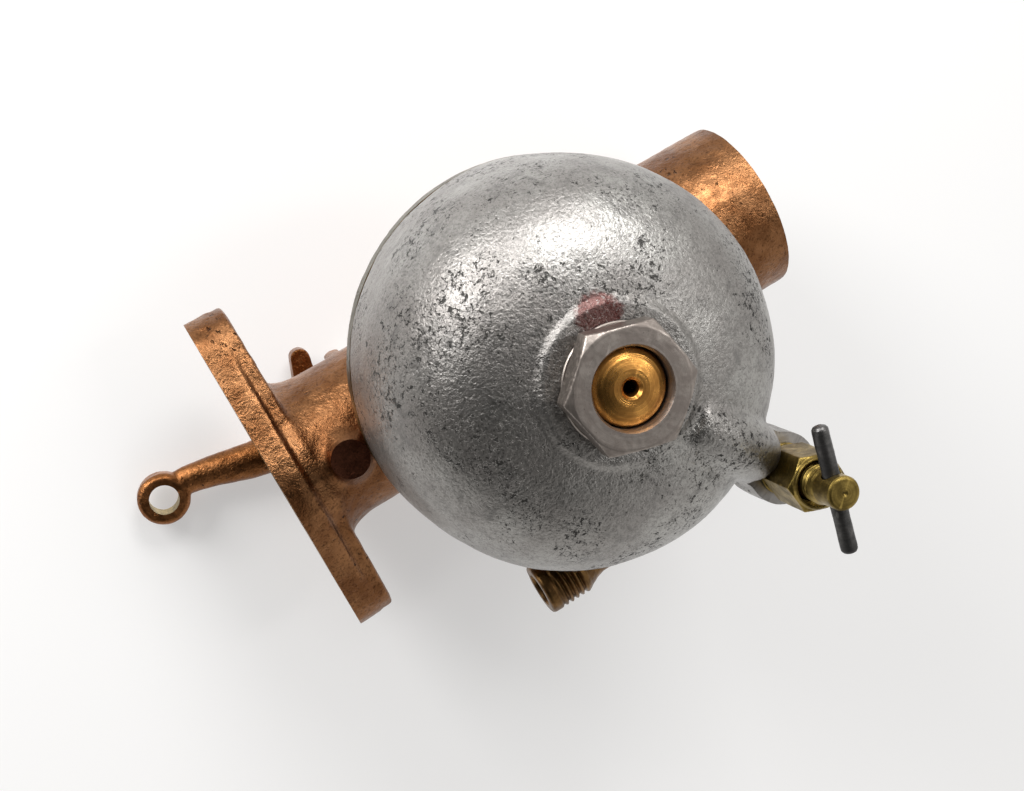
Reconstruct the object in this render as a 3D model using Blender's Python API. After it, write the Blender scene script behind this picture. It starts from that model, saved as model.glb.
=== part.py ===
"""Side-draft float-feed carburettor, modelled as its separate pieces.

Lengths are in millimetres in this file and become metres in the meshes. The frame is +Z up, with the
float bowl hanging down. The origin is the centre of the outlet bore in the gasket face of the mounting
flange, and the barrel runs from there along +X to the air horn.
"""

import math

import bmesh
import bpy
from mathutils import Matrix, Vector

MM = 0.001
GAP = 0.3  # clearance between neighbouring pieces

# Barrel and mounting flange
OUTLET_BORE_R = 15.0
HORN_BORE_R = 18.0
NECK_R = 18.0
HORN_R = 21.1
HORN_END_X = 131.3
BORE_STEP_X = 44.0
BOLT_Y = 30.15
BOLT_HOLE_R = 4.4
FLANGE_END_R = 10.8
FLANGE_MIDDLE_R = 22.5
FLANGE_FRONT_T = 5.7
FLANGE_T = 9.1

# Float chamber: cover above, bowl below
BOWL_X = 64.2
JOINT_Z = -30.5
COVER_R = 44.0
COVER_RIM_T = 4.3
GASKET_T = 0.8
BOWL_WALL = 3.0
BOWL_TOP_Z = -32.0
BOWL_DEPTH = 43.0
BOWL_ROUNDNESS = 3.15
PAD_R = 16.5
PAD_Z = -75.4
BOWL_HOLE_R = 7.95

# Standpipe, nut and washer under the bowl
STANDPIPE_R = 7.6
STANDPIPE_SHOULDER_Z = -36.0
STANDPIPE_END_Z = -81.6
NOZZLE_R = 3.2
NOZZLE_TOP_Z = -2.5
NUT_FLATS = 23.7
NUT_FACE_Z = -82.25
NUT_TURN = 16.0
WASHER_T = 0.8
WASHER_R = 12.2

# Drain cock on the side of the bowl
DRAIN_X = 93.0
DRAIN_Y = 41.2
DRAIN_BOSS_R = 8.0
DRAIN_BOSS_Z = -56.0
DRAIN_FLATS = 11.6
DRAIN_HEX_TOP_Z = -59.0
DRAIN_HEX_LOW_Z = -71.2
DRAIN_MOUTH_Z = -72.0
DRAIN_STEM_R = 4.0
DRAIN_STEM_END_Z = -82.0
T_BAR_R = 1.75
T_BAR_LENGTH = 27.7
T_BAR_Z = -78.0
T_BAR_TURN = 101.0
DRAIN_HEX_TURN = 20.0

# Throttle: upright shaft in the neck, lever above the flange
THROTTLE_X = 16.2
SHAFT_R = 3.2
THROTTLE_BOSS_TOP_Z = 21.6
THROTTLE_BOSS_END_Z = -20.5
THROTTLE_PLATE_R = 14.5
THROTTLE_PLATE_TILT = 8.0
PLATE_T = 1.2
LEVER_Z = 24.2
LEVER_T = 5.0
LEVER_EYE = (-41.55, -3.4)
LEVER_EYE_R = 6.45
LEVER_EYE_HOLE_R = 3.65
STOP_ARM = (4.3, -17.0)
STOP_SCREW_LINE = (0, -9.5, LEVER_Z + LEVER_T / 2)

# Choke: upright shaft in the horn
CHOKE_X = 104.0
CHOKE_SHAFT_R = 2.4
CHOKE_PLATE_R = 17.3
CHOKE_BOSS_TOP_Z = 23.2
CHOKE_ARM_LENGTH = 21.0

# Venturi
VENTURI_END_X = 80.0
VENTURI_THROAT_R = 11.0
VENTURI_SCREW_X = 76.0

# Mixture needle above the standpipe
NEEDLE_BOSS_TOP_Z = 27.0
STUD_TOP_Z = 32.0
PACKING_NUT_TOP_Z = 36.0
SPRING_R = 3.7
SPRING_WIRE_R = 0.45
SPRING_TURNS = 6
SPRING_BASE_Z = PACKING_NUT_TOP_Z + GAP
SPRING_TOP_Z = 43.6
CUP_T = 1.6
HEAD_R = 7.4
HEAD_T = 6.0
NEEDLE_R = 1.9

# Fuel inlet elbow
INLET_X = 62.0
INLET_Y = 48.9
INLET_Z = -24.0
INLET_BOSS_END_Y = 43.8
INLET_MOUTH_X = 38.6
INLET_WASHER_T = 0.5
NIPPLE_R = 6.2
NIPPLE_BORE_R = 3.7
NIPPLE_THREAD_LENGTH = 10.0
ELBOW_R = 4.0

# Float, its hinge and its valve
SEAT_Y = 29.5
HINGE_Y = 35.5
HINGE_Z = -38.0
FLOAT_DROP = 6.0  # degrees that the empty float hangs below its closed position
FLOAT_R = 30.0
FLOAT_HOLE_R = 11.0
FLOAT_TOP = -2.1
FLOAT_HEIGHT = 14.4
ARM_TOP = -1.0
ARM_T = 0.8
SEAT_FLATS = 10.0
VALVE_STEM_R = 1.55

# Facets round a full circle, by size of piece
LARGE = 36
MEDIUM = 20
SMALL = 12

BRONZE = ((0.52, 0.27, 0.13), 0.45, 1.0)
BRASS = ((0.60, 0.43, 0.18), 0.35, 1.0)
WHITE_METAL = ((0.47, 0.46, 0.44), 0.5, 1.0)
STEEL = ((0.35, 0.34, 0.32), 0.4, 1.0)
DARK_STEEL = ((0.08, 0.08, 0.08), 0.5, 1.0)
CORK = ((0.42, 0.24, 0.11), 0.8, 0.0)
FIBRE = ((0.30, 0.09, 0.05), 0.8, 0.0)
GRAPHITE = ((0.06, 0.06, 0.06), 0.7, 0.0)


# ---- outlines and mesh builders ---------------------------------------------------------------------


def circle(radius, centre=(0.0, 0.0), facets=MEDIUM, start=0.0):
    """Points anticlockwise round a circle, the first at `start` degrees."""
    turns = [math.radians(start) + 2 * math.pi * index / facets for index in range(facets)]
    return [(centre[0] + radius * math.cos(a), centre[1] + radius * math.sin(a)) for a in turns]


def hexagon(across_flats, turn=0.0):
    """Points anticlockwise round a hexagon, with a corner at `turn` degrees."""
    corner = across_flats / math.sqrt(3)
    turns = [math.radians(turn + 60 * index) for index in range(6)]
    return [(corner * math.cos(a), corner * math.sin(a)) for a in turns]


def belt(circles, facets=MEDIUM):
    """The outline of a belt stretched round circles, each given as (radius, centre)."""
    points = sorted({point for radius, centre in circles for point in circle(radius, centre, facets)})

    def half(ordered):
        chain = []
        for point in ordered:
            while len(chain) > 1 and turn_of(chain[-2], chain[-1], point) <= 0:
                chain.pop()
            chain.append(point)
        return chain[:-1]

    return half(points) + half(points[::-1])


def turn_of(a, b, c):
    return (b[0] - a[0]) * (c[1] - a[1]) - (b[1] - a[1]) * (c[0] - a[0])


def superellipse(radius, depth, lowest_radius, steps):
    """(r, drop) from the rim of a bowl down to lowest_radius, closer together where it curves most."""
    start = math.acos(min(1.0, (lowest_radius / radius) ** (BOWL_ROUNDNESS / 2)))
    points = []
    for index in range(steps + 1):
        angle = start * index / steps
        r = radius * math.cos(angle) ** (2 / BOWL_ROUNDNESS)
        drop = depth * math.sin(angle) ** (2 / BOWL_ROUNDNESS)
        points.append((r, drop))
    return points


def finish(name, look):
    colour, roughness, metallic = look
    material = bpy.data.materials.new(name)
    material.use_nodes = True
    shader = material.node_tree.nodes["Principled BSDF"]
    shader.inputs["Base Color"].default_value = (*colour, 1.0)
    shader.inputs["Roughness"].default_value = roughness
    shader.inputs["Metallic"].default_value = metallic
    return material


def add(name, bm, look=None, at=(0, 0, 0), turned_by=(0, 0, 0), parent=None):
    """Makes an object from bm, which is in millimetres. Without a look it is a cutter or a blank."""
    bmesh.ops.remove_doubles(bm, verts=bm.verts, dist=1e-5)
    bmesh.ops.recalc_face_normals(bm, faces=bm.faces)
    bmesh.ops.scale(bm, vec=(MM, MM, MM), verts=bm.verts)
    mesh = bpy.data.meshes.new(name)
    bm.to_mesh(mesh)
    bm.free()
    mesh.shade_smooth()
    mesh.set_sharp_from_angle(angle=math.radians(35))
    obj = bpy.data.objects.new(name, mesh)
    obj.location = Vector(at) * MM
    obj.rotation_euler = [math.radians(angle) for angle in turned_by]
    obj.parent = parent
    bpy.context.scene.collection.objects.link(obj)
    if look is None:
        obj.hide_render = True
        obj.display_type = "WIRE"
    else:
        mesh.materials.append(finish(name, look))
    return obj


def turning(profile, facets=MEDIUM, closed=False, start=0.0):
    """A bmesh turned about Z from (r, z) points. A closed profile makes a ring, an open one runs from
    the axis back to the axis. Tools start at another angle, so that no facets lie edge on edge."""
    bm = bmesh.new()
    rings = []
    for r, z in profile:
        if r < 1e-6:
            rings.append([bm.verts.new((0, 0, z))] * facets)
        else:
            rings.append([bm.verts.new((x, y, z)) for x, y in circle(r, facets=facets, start=start)])
    pairs = list(zip(rings, rings[1:]))
    if closed:
        pairs.append((rings[-1], rings[0]))
    for lower, upper in pairs:
        for index in range(facets):
            following = (index + 1) % facets
            corners = [lower[index], lower[following], upper[following], upper[index]]
            corners = list(dict.fromkeys(corners))
            if len(corners) > 2:
                bm.faces.new(corners)
    return bm


def rod(radius, z0, z1, facets=MEDIUM):
    return turning([(0, z0), (radius, z0), (radius, z1), (0, z1)], facets, start=90 / facets)


def tube(radius, hole, z0, z1, facets=MEDIUM):
    return turning([(radius, z0), (radius, z1), (hole, z1), (hole, z0)], facets, closed=True)


def prism(outline, z0, z1):
    bm = bmesh.new()
    floor = [bm.verts.new((x, y, z0)) for x, y in outline]
    roof = [bm.verts.new((x, y, z1)) for x, y in outline]
    bm.faces.new(floor[::-1])
    bm.faces.new(roof)
    for index, corner in enumerate(floor):
        following = (index + 1) % len(floor)
        bm.faces.new([corner, floor[following], roof[following], roof[index]])
    return bm


def block(low, high):
    corners = [(low[0], low[1]), (high[0], low[1]), (high[0], high[1]), (low[0], high[1])]
    return prism(corners, low[2], high[2])


def shape(obj, operation, *tools):
    """Adds one Boolean modifier for each tool, in order."""
    for tool in tools:
        modifier = obj.modifiers.new(f"{operation.lower()} {tool.name}", "BOOLEAN")
        modifier.operation = operation
        modifier.solver = "EXACT"
        modifier.object = tool


def join(obj, *tools):
    shape(obj, "UNION", *tools)


def cut(obj, *tools):
    shape(obj, "DIFFERENCE", *tools)


def chamfered(obj, across_flats, z0, z1, bottom=True, top=True, parent=None, at=(0, 0, 0)):
    """Cuts the corners of a hexagon to a cone at its ends, as on a turned nut."""
    face = across_flats / 2
    reach = face * 1.2
    drop = (reach - face) * math.tan(math.radians(30))
    profile = [(0, z0), (face, z0), (reach, z0 + drop)] if bottom else [(0, z0 - 1), (reach, z0 - 1)]
    profile += [(reach, z1 - drop), (face, z1), (0, z1)] if top else [(reach, z1 + 1), (0, z1 + 1)]
    envelope = add(f"{obj.name}_envelope", turning(profile, 36), at=at, parent=parent)
    shape(obj, "INTERSECT", envelope)


ALONG_X = (0, 90, 0)
ALONG_Y = (-90, 0, 0)


def axis_empty(name, at, turned_by=(0, 0, 0)):
    """An empty on a joint's axis, which carries the pieces that move about it."""
    empty = bpy.data.objects.new(name, None)
    empty.location = Vector(at) * MM
    empty.rotation_euler = [math.radians(angle) for angle in turned_by]
    bpy.context.scene.collection.objects.link(empty)
    return empty


# ---- body casting: flange, barrel, horn and float chamber cover in one piece ------------------------


def flange_plate(middle_radius, end_radius, x0, x1):
    outline = belt([(end_radius, (0, -BOLT_Y)), (middle_radius, (0, 0)), (end_radius, (0, BOLT_Y))], 32)
    return add("blank_flange", prism(outline, x0, x1), turned_by=ALONG_X)


def body_casting():
    barrel_profile = [(0, 1), (20.5, 1), (20.5, 8.6), (19.2, 10.2), (18.4, 12.2), (NECK_R, 15)]
    barrel_profile += [(NECK_R, 31), (18.8, 35), (20.4, 39.5), (HORN_R, 43)]
    barrel_profile += [(HORN_R, HORN_END_X - 1.5), (20.6, HORN_END_X), (0, HORN_END_X)]
    body = add("body_casting", turning(barrel_profile, LARGE), BRONZE, turned_by=ALONG_X)

    over_bowl = (BOWL_X, 0, 0)
    inlet_at = (INLET_X, 0, INLET_Z)
    hinge_at = (INLET_X, HINGE_Y, HINGE_Z)
    boss_low = STANDPIPE_SHOULDER_Z + GAP
    inside = [(0, boss_low), (10.5, boss_low), (10.5, -23.2), (30, -23.2), (34, -27.2), (39, -27.6)]
    inside.append((39, JOINT_Z))
    outside = [(COVER_R, JOINT_Z), (COVER_R, JOINT_Z + COVER_RIM_T), (42.6, -25.4), (38.5, -24.2)]
    outside += [(35.2, -21.6), (31.5, -17.9), (26.5, -14.8), (20, -12.5), (0, -12.5)]
    cover = add("blank_cover", turning(inside + outside, LARGE, start=2.3), at=over_bowl)

    boss_top, boss_end = THROTTLE_BOSS_TOP_Z, THROTTLE_BOSS_END_Z
    throttle_boss = [(0, boss_end), (4.5, boss_end), (6.2, -19.6), (7.2, -17), (7.2, boss_top), (0, boss_top)]
    boss_top = NEEDLE_BOSS_TOP_Z
    needle_boss = [(0, 17), (8.2, 17), (8.2, boss_top), (5, boss_top), (5, STUD_TOP_Z), (0, STUD_TOP_Z)]
    lug_side = [(26, 10), (26, 29), (27.2, 31), (28.8, 31), (30, 29), (30, 10)]
    lug = prism([(x, -z) for x, z in lug_side[::-1]], -14, -5)
    stop_lug = add("blank_stop_lug", lug, turned_by=ALONG_Y)
    join(
        body,
        cover,
        flange_plate(FLANGE_MIDDLE_R, FLANGE_END_R, 0, FLANGE_FRONT_T),
        flange_plate(FLANGE_MIDDLE_R - 3.3, FLANGE_END_R - 0.4, FLANGE_FRONT_T - 1, FLANGE_T),
        add("blank_throttle_boss", turning(throttle_boss), at=(THROTTLE_X, 0, 0)),
        add("blank_choke_boss", rod(6.2, -23.4, CHOKE_BOSS_TOP_Z), at=(CHOKE_X, 0, 0)),
        add("blank_needle_boss", turning(needle_boss), at=over_bowl),
        add("blank_screw_boss", rod(4.2, 17, 23, SMALL), at=(VENTURI_SCREW_X, 0, 0)),
        add("blank_inlet_boss", rod(6.2, 24, INLET_BOSS_END_Y), at=inlet_at, turned_by=ALONG_Y),
        add("blank_seat_boss", rod(6.8, -33, -21), at=(INLET_X, SEAT_Y, 0)),
        add("blank_hinge_lug_1", block((-7.3, -2.6, -2.4), (-5.2, 2.6, 12)), at=hinge_at),
        add("blank_hinge_lug_2", block((5.2, -2.6, -2.4), (7.3, 2.6, 12)), at=hinge_at),
        stop_lug,
    )

    bore_profile = [(0, -2), (15.8, -2), (15.8, 0.0), (OUTLET_BORE_R, 0.8), (OUTLET_BORE_R, BORE_STEP_X)]
    bore_profile += [(HORN_BORE_R, BORE_STEP_X), (HORN_BORE_R, HORN_END_X - 2.4), (18.4, HORN_END_X - 0.6)]
    bore_profile += [(18.6, HORN_END_X + 2), (0, HORN_END_X + 2)]
    nozzle_hole_r = NOZZLE_R + GAP
    pipe_hole = [(0, -40), (6.3, -40), (6.3, -17.2), (nozzle_hole_r, -17.2), (nozzle_hole_r, -10), (0, -10)]
    cut(body, add("cut_bore", turning(bore_profile, LARGE), turned_by=ALONG_X))
    for side in (-1, 1):
        hole = rod(BOLT_HOLE_R, -2, 12)
        cut(body, add("cut_bolt_hole", hole, at=(0, side * BOLT_Y, 0), turned_by=ALONG_X))
    cut(
        body,
        add("cut_throttle_shaft", rod(SHAFT_R + GAP, -18.6, 30), at=(THROTTLE_X, 0, 0)),
        add("cut_choke_shaft", rod(CHOKE_SHAFT_R + GAP, -30, 30, 16), at=(CHOKE_X, 0, 0)),
        add("cut_needle", rod(NEEDLE_R + GAP, 5, 40, SMALL), at=over_bowl),
        add("cut_venturi_screw", rod(1.6 + GAP, 12, 30, SMALL), at=(VENTURI_SCREW_X, 0, 0)),
        add("cut_standpipe", turning(pipe_hole), at=over_bowl),
        add("cut_seat", rod(3.9 + GAP, -40, -22.4, 16), at=(INLET_X, SEAT_Y, 0)),
        add("cut_inlet", rod(1.5, SEAT_Y + 1, 40, SMALL), at=inlet_at, turned_by=ALONG_Y),
        add("cut_elbow", rod(ELBOW_R + GAP, 36, 50), at=inlet_at, turned_by=ALONG_Y),
        add("cut_stop_screw", rod(1.9 + GAP, 20, 35, SMALL), at=STOP_SCREW_LINE, turned_by=ALONG_X),
        add("cut_hinge_pin", rod(1.0 + GAP, -10, 10, SMALL), at=hinge_at, turned_by=ALONG_X),
        add("cut_vent", rod(1.2, -40, 0, SMALL), at=(BOWL_X + 16, -29, 0)),
    )


# ---- float bowl, gasket, standpipe, washer and nut ---------------------------------------------------


def rib_ridge(reach):
    """Points along the drain rib, which follows the bowl from the boss to the pad and sinks into it. x
    runs inwards from the drain's axis, which is at reach from the bowl's, and y is -z."""
    points = []
    for x in (8.2, 10, 12, 14, 17, 20, 24, 28, 32):
        across = ((reach - x) / COVER_R) ** BOWL_ROUNDNESS
        drop = BOWL_DEPTH * (1 - across) ** (1 / BOWL_ROUNDNESS)
        proud = 4.2 - 3.6 * (x - 8.2) / (32 - 8.2)
        points.append((x, drop - BOWL_TOP_Z + proud))
    return points


def float_bowl():
    outside = [(r, BOWL_TOP_Z - drop) for r, drop in superellipse(COVER_R, BOWL_DEPTH, PAD_R, 11)]
    rim_z = JOINT_Z - GASKET_T - 2 * GAP
    profile = [(0, rim_z), (COVER_R, rim_z), *outside, (PAD_R - 0.6, PAD_Z), (0, PAD_Z)]
    bowl = add("float_bowl", turning(profile, LARGE), WHITE_METAL, at=(BOWL_X, 0, 0))

    inner_r = COVER_R - BOWL_WALL
    inside = [(r, BOWL_TOP_Z - drop) for r, drop in superellipse(inner_r, BOWL_DEPTH - 3.5, 6.0, 8)]
    hollow_profile = [(0, 0), (inner_r, 0), *inside, (0, inside[-1][1])]
    hollow = add("cut_bowl_hollow", turning(hollow_profile, LARGE, start=2.0), at=(BOWL_X, 0, 0))

    drain = Vector((DRAIN_X - BOWL_X, DRAIN_Y))
    inward = math.degrees(math.atan2(-drain.y, -drain.x))
    at_drain = (DRAIN_X, DRAIN_Y, 0)
    boss_profile = [(0, DRAIN_BOSS_Z), (7.4, DRAIN_BOSS_Z), (DRAIN_BOSS_R, -55.2), (DRAIN_BOSS_R, -44)]
    boss_profile += [(7, -40), (4.5, -37.6), (0, -36.8)]
    rib_side = [(0, 37.5), (0, 55), (7.9, 55.2), *rib_ridge(drain.length), (34, 70), (12, 38)]
    rib = prism(rib_side, -DRAIN_BOSS_R + 0.2, DRAIN_BOSS_R - 0.2)
    bmesh.ops.rotate(rib, verts=rib.verts, matrix=Matrix.Rotation(math.radians(-90), 3, "X"))
    passage = rod(2.0, 0, 22, SMALL)
    bmesh.ops.rotate(passage, verts=passage.verts, matrix=Matrix.Rotation(math.radians(108), 3, "Y"))
    join(
        bowl,
        add("blank_drain_rib", rib, at=at_drain, turned_by=(0, 0, inward)),
        add("blank_drain_boss", turning(boss_profile), at=at_drain),
    )
    cut(
        bowl,
        hollow,
        add("cut_bowl_hole", rod(BOWL_HOLE_R, -90, -60), at=(BOWL_X, 0, 0)),
        add("cut_drain_thread", rod(4.5 + GAP, -60, -47.5), at=at_drain),
        add("cut_drain_passage", passage, at=(DRAIN_X, DRAIN_Y, -49.6), turned_by=(0, 0, inward)),
    )


def bowl_clamping_pieces():
    at = (BOWL_X, 0, 0)
    gasket_top = JOINT_Z - GAP
    add("bowl_gasket", tube(43.6, 39.4, gasket_top - GASKET_T, gasket_top, LARGE), FIBRE, at=at)

    end = STANDPIPE_END_Z
    profile = [(1.45, end + 1.1), (2.15, end + 0.35), (2.3, end + 0.15), (4.2, end + 0.3), (6.1, end + 0.7)]
    profile += [(7.1, end + 1.2), (STANDPIPE_R, end + 2.0), (STANDPIPE_R, STANDPIPE_SHOULDER_Z)]
    profile += [(6.0, STANDPIPE_SHOULDER_Z), (6.0, -18.6), (NOZZLE_R, -18.1), (NOZZLE_R, NOZZLE_TOP_Z - 1)]
    profile += [(2.2, NOZZLE_TOP_Z), (1.3, NOZZLE_TOP_Z), (1.3, -30), (3.5, -34), (3.5, -70), (1.45, -72)]
    standpipe = add("standpipe", turning(profile, MEDIUM, closed=True), BRASS, at=at)
    cut(standpipe, add("cut_jet_port", rod(1.2, -9, 9, SMALL), at=(BOWL_X, 0, -68), turned_by=ALONG_X))

    washer_top = PAD_Z - GAP
    washer = tube(WASHER_R, BOWL_HOLE_R, washer_top - WASHER_T, washer_top, 36)
    add("bowl_nut_washer", washer, STEEL, at=at)
    nut_top = washer_top - WASHER_T - GAP
    nut = add("bowl_nut", prism(hexagon(NUT_FLATS, NUT_TURN), NUT_FACE_Z, nut_top), STEEL, at=at)
    chamfered(nut, NUT_FLATS, NUT_FACE_Z, nut_top, top=False, at=at)
    mouth = [(0, NUT_FACE_Z - 1), (9.3, NUT_FACE_Z - 1), (BOWL_HOLE_R, NUT_FACE_Z + 0.8)]
    mouth += [(BOWL_HOLE_R, -70), (0, -70)]
    cut(nut, add("cut_nut_thread", turning(mouth), at=at))


# ---- drain cock --------------------------------------------------------------------------------------


def drain_cock():
    at = (DRAIN_X, DRAIN_Y, 0)
    hex_prism = prism(hexagon(DRAIN_FLATS, DRAIN_HEX_TURN), DRAIN_HEX_LOW_Z, DRAIN_HEX_TOP_Z)
    body = add("drain_cock_body", hex_prism, BRASS, at=at)
    chamfered(body, DRAIN_FLATS, DRAIN_HEX_LOW_Z, DRAIN_HEX_TOP_Z, at=at)
    shoulder = DRAIN_BOSS_Z - GAP
    neck = [(0, -49), (4.5, -49), (4.5, shoulder), (5.7, shoulder), (5.7, -60), (0, -60)]
    lip = [(0, -62), (5.6, -62), (5.6, -71.5), (5.3, DRAIN_MOUTH_Z), (0, DRAIN_MOUTH_Z)]
    join(
        body,
        add("blank_cock_neck", turning(neck[::-1]), at=at),
        add("blank_cock_lip", turning(lip[::-1]), at=at),
    )
    thread_r = DRAIN_STEM_R + GAP
    bore = [(0, -80), (5.0, -80), (5.0, -69.2), (thread_r, -69.2), (thread_r, -61), (2.9, -60)]
    bore += [(2.9, -58.6), (1.5, -56.8), (1.5, -40), (0, -40)]
    cut(body, add("cut_cock_bore", turning(bore), at=at))

    axis = axis_empty("drain_axis", at)
    tip = [(0, -57.3), (0.9, -57.3), (2.5, -59.2), (2.5, -60.4), (0, -60.4)]
    add("drain_valve_tip", turning(tip[::-1], SMALL), BRASS, parent=axis)
    end = DRAIN_STEM_END_Z
    stem = [(0, -60.7), (3.4, -60.7), (DRAIN_STEM_R, -61.5), (DRAIN_STEM_R, -74.2), (3.55, -75.4)]
    stem += [(3.55, end + 0.5), (3.05, end), (0.5, end), (0, end + 0.3)]
    stem = add("drain_stem", turning(stem[::-1]), BRASS, parent=axis)
    across = dict(at=(0, 0, T_BAR_Z), turned_by=(0, 90, T_BAR_TURN), parent=axis)
    cut(stem, add("cut_t_bar_hole", rod(T_BAR_R + GAP, -9, 9, SMALL), **across))
    half = T_BAR_LENGTH / 2
    bar = [(0, -half), (1.1, -half), (T_BAR_R, -half + 0.7), (T_BAR_R, half - 0.7), (1.1, half), (0, half)]
    add("drain_t_bar", turning(bar, SMALL), DARK_STEEL, **across)


# ---- butterfly valves --------------------------------------------------------------------------------


def butterfly(name, axis, shaft_r, plate_r, bore_r, screw_z, closed_by, ends):
    """A shaft, slotted for its plate, and the plate with its two screws. The plate's normal lies at
    closed_by degrees from +X."""
    normal = dict(turned_by=(0, 90, closed_by), parent=axis)
    low, high = ends
    chamfer = 0.5
    profile = [(0, low), (shaft_r - chamfer, low), (shaft_r, low + chamfer), (shaft_r, high - chamfer)]
    profile += [(shaft_r - chamfer, high), (0, high)]
    shaft = add(f"{name}_shaft", turning(profile, 18), STEEL, parent=axis)
    slot = block((-bore_r, -10, -PLATE_T / 2 - GAP), (bore_r, 10, PLATE_T / 2 + GAP))
    cut(shaft, add(f"cut_{name}_slot", slot, **normal))
    plate = add(f"{name}_plate", rod(plate_r, -PLATE_T / 2, PLATE_T / 2, LARGE), BRASS, **normal)
    for number, z in enumerate((-screw_z, screw_z), start=1):
        at = (0, 0, z)
        hole = add(f"cut_{name}_screw_hole", rod(1.1 + GAP, -8, 8, 10), at=at, **normal)
        cut(shaft, hole)
        cut(plate, hole)
        head = shaft_r + GAP
        screw = [(0, -shaft_r + 0.4), (1.1, -shaft_r + 0.4), (1.1, head), (2.2, head), (2.2, head + 0.9)]
        screw += [(1.5, head + 1.4), (0, head + 1.5)]
        screw = add(f"{name}_plate_screw_{number}", turning(screw, SMALL), BRASS, at=at, **normal)
        driver_slot = block((-3, -0.3, head + 0.8), (3, 0.3, head + 3))
        cut(screw, add(f"cut_{name}_driver_slot", driver_slot, at=at, **normal))


def throttle():
    axis = axis_empty("throttle_axis", (THROTTLE_X, 0, 0))
    ends = (-18.3, LEVER_Z + LEVER_T + 4)
    slot_r = OUTLET_BORE_R + 0.4
    butterfly("throttle", axis, SHAFT_R, THROTTLE_PLATE_R, slot_r, 8, THROTTLE_PLATE_TILT, ends)

    low, high = LEVER_Z, LEVER_Z + LEVER_T
    eye = Vector(LEVER_EYE)
    waist = eye * 0.84
    arm = belt([(3.2, waist), (5.2, eye * 0.3 + Vector((0, 0.4))), (6.4, (0, 0))])
    lever = add("throttle_lever", prism(arm, low, high), BRONZE, parent=axis)
    eye_profile = [(0, low - 0.4), (5.6, low - 0.4), (LEVER_EYE_R, low + 0.6), (LEVER_EYE_R, high - 0.6)]
    eye_profile += [(5.6, high + 0.4), (0, high + 0.4)]
    stop_arm = belt([(4.5, (0, 0)), (2.4, STOP_ARM)])
    hub_low = THROTTLE_BOSS_TOP_Z + GAP
    hub = [(0, hub_low), (7.0, hub_low), (7.6, hub_low + 0.6), (7.6, high + 1.8), (6.8, high + 2.6)]
    hub.append((0, high + 2.6))
    join(
        lever,
        add("blank_lever_eye", turning(eye_profile), at=(*eye, 0), parent=axis),
        add("blank_stop_arm", prism(stop_arm, low, high), parent=axis),
        add("blank_lever_hub", turning(hub), parent=axis),
    )
    pin_at = dict(at=(0, 0, high + 0.2), turned_by=(0, 90, 96), parent=axis)
    pin_hole = add("cut_lever_pin", rod(1.5, -12, 12, SMALL), **pin_at)
    cut(
        lever,
        add("cut_lever_eye", rod(LEVER_EYE_HOLE_R, 10, 40), at=(*eye, 0), parent=axis),
        add("cut_lever_bore", rod(SHAFT_R + GAP, 10, 40), parent=axis),
        pin_hole,
    )
    cut(bpy.data.objects["throttle_shaft"], pin_hole)
    pin = [(0, -8.8), (1.05, -8.8), (1.2, -8.5), (1.2, 8.5), (1.05, 8.8), (0, 8.8)]
    add("throttle_lever_pin", turning(pin, SMALL), STEEL, **pin_at)


def idle_stop():
    line = dict(at=STOP_SCREW_LINE, turned_by=ALONG_X)
    screw = [(0, 22.5), (1.2, 22.5), (1.9, 23.4), (1.9, 37.2), (1.3, 37.8), (0, 37.8)]
    screw = add("idle_stop_screw", turning(screw, SMALL), STEEL, **line)
    cut(screw, add("cut_stop_driver_slot", block((-4, -0.4, 36.4), (4, 0.4, 39)), **line))
    nut = add("idle_lock_nut", prism(hexagon(7.0), 30 + GAP, 33.2), STEEL, **line)
    cut(nut, add("cut_lock_nut", rod(1.9 + GAP, 29, 35, SMALL), **line))


def choke():
    axis = axis_empty("choke_axis", (CHOKE_X, 0, 0))
    hub_low = CHOKE_BOSS_TOP_Z + GAP
    hub_high = hub_low + 5.5
    ends = (-23.1, hub_high + 0.8)
    butterfly("choke", axis, CHOKE_SHAFT_R, CHOKE_PLATE_R, HORN_BORE_R + 0.4, 9.5, 90, ends)
    tip = (-CHOKE_ARM_LENGTH, 0)
    arm = belt([(5, (0, 0)), (3.3, tip)])
    lever = add("choke_lever", prism(arm, hub_low + 1.4, hub_low + 4), BRONZE, parent=axis)
    join(lever, add("blank_choke_hub", rod(5.4, hub_low, hub_high), parent=axis))
    pin_at = dict(at=(0, 0, hub_low + 4.5), turned_by=(0, 90, 90), parent=axis)
    pin_hole = add("cut_choke_pin", rod(1.1, -9, 9, SMALL), **pin_at)
    cut(
        lever,
        add("cut_choke_bore", rod(CHOKE_SHAFT_R + GAP, 20, 34), parent=axis),
        add("cut_choke_eye", rod(1.5, 20, 34, SMALL), at=(*tip, 0), parent=axis),
        pin_hole,
    )
    cut(bpy.data.objects["choke_shaft"], pin_hole)
    add("choke_lever_pin", rod(0.8, -6.2, 6.2, SMALL), STEEL, **pin_at)


# ---- venturi and mixture needle ----------------------------------------------------------------------


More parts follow.
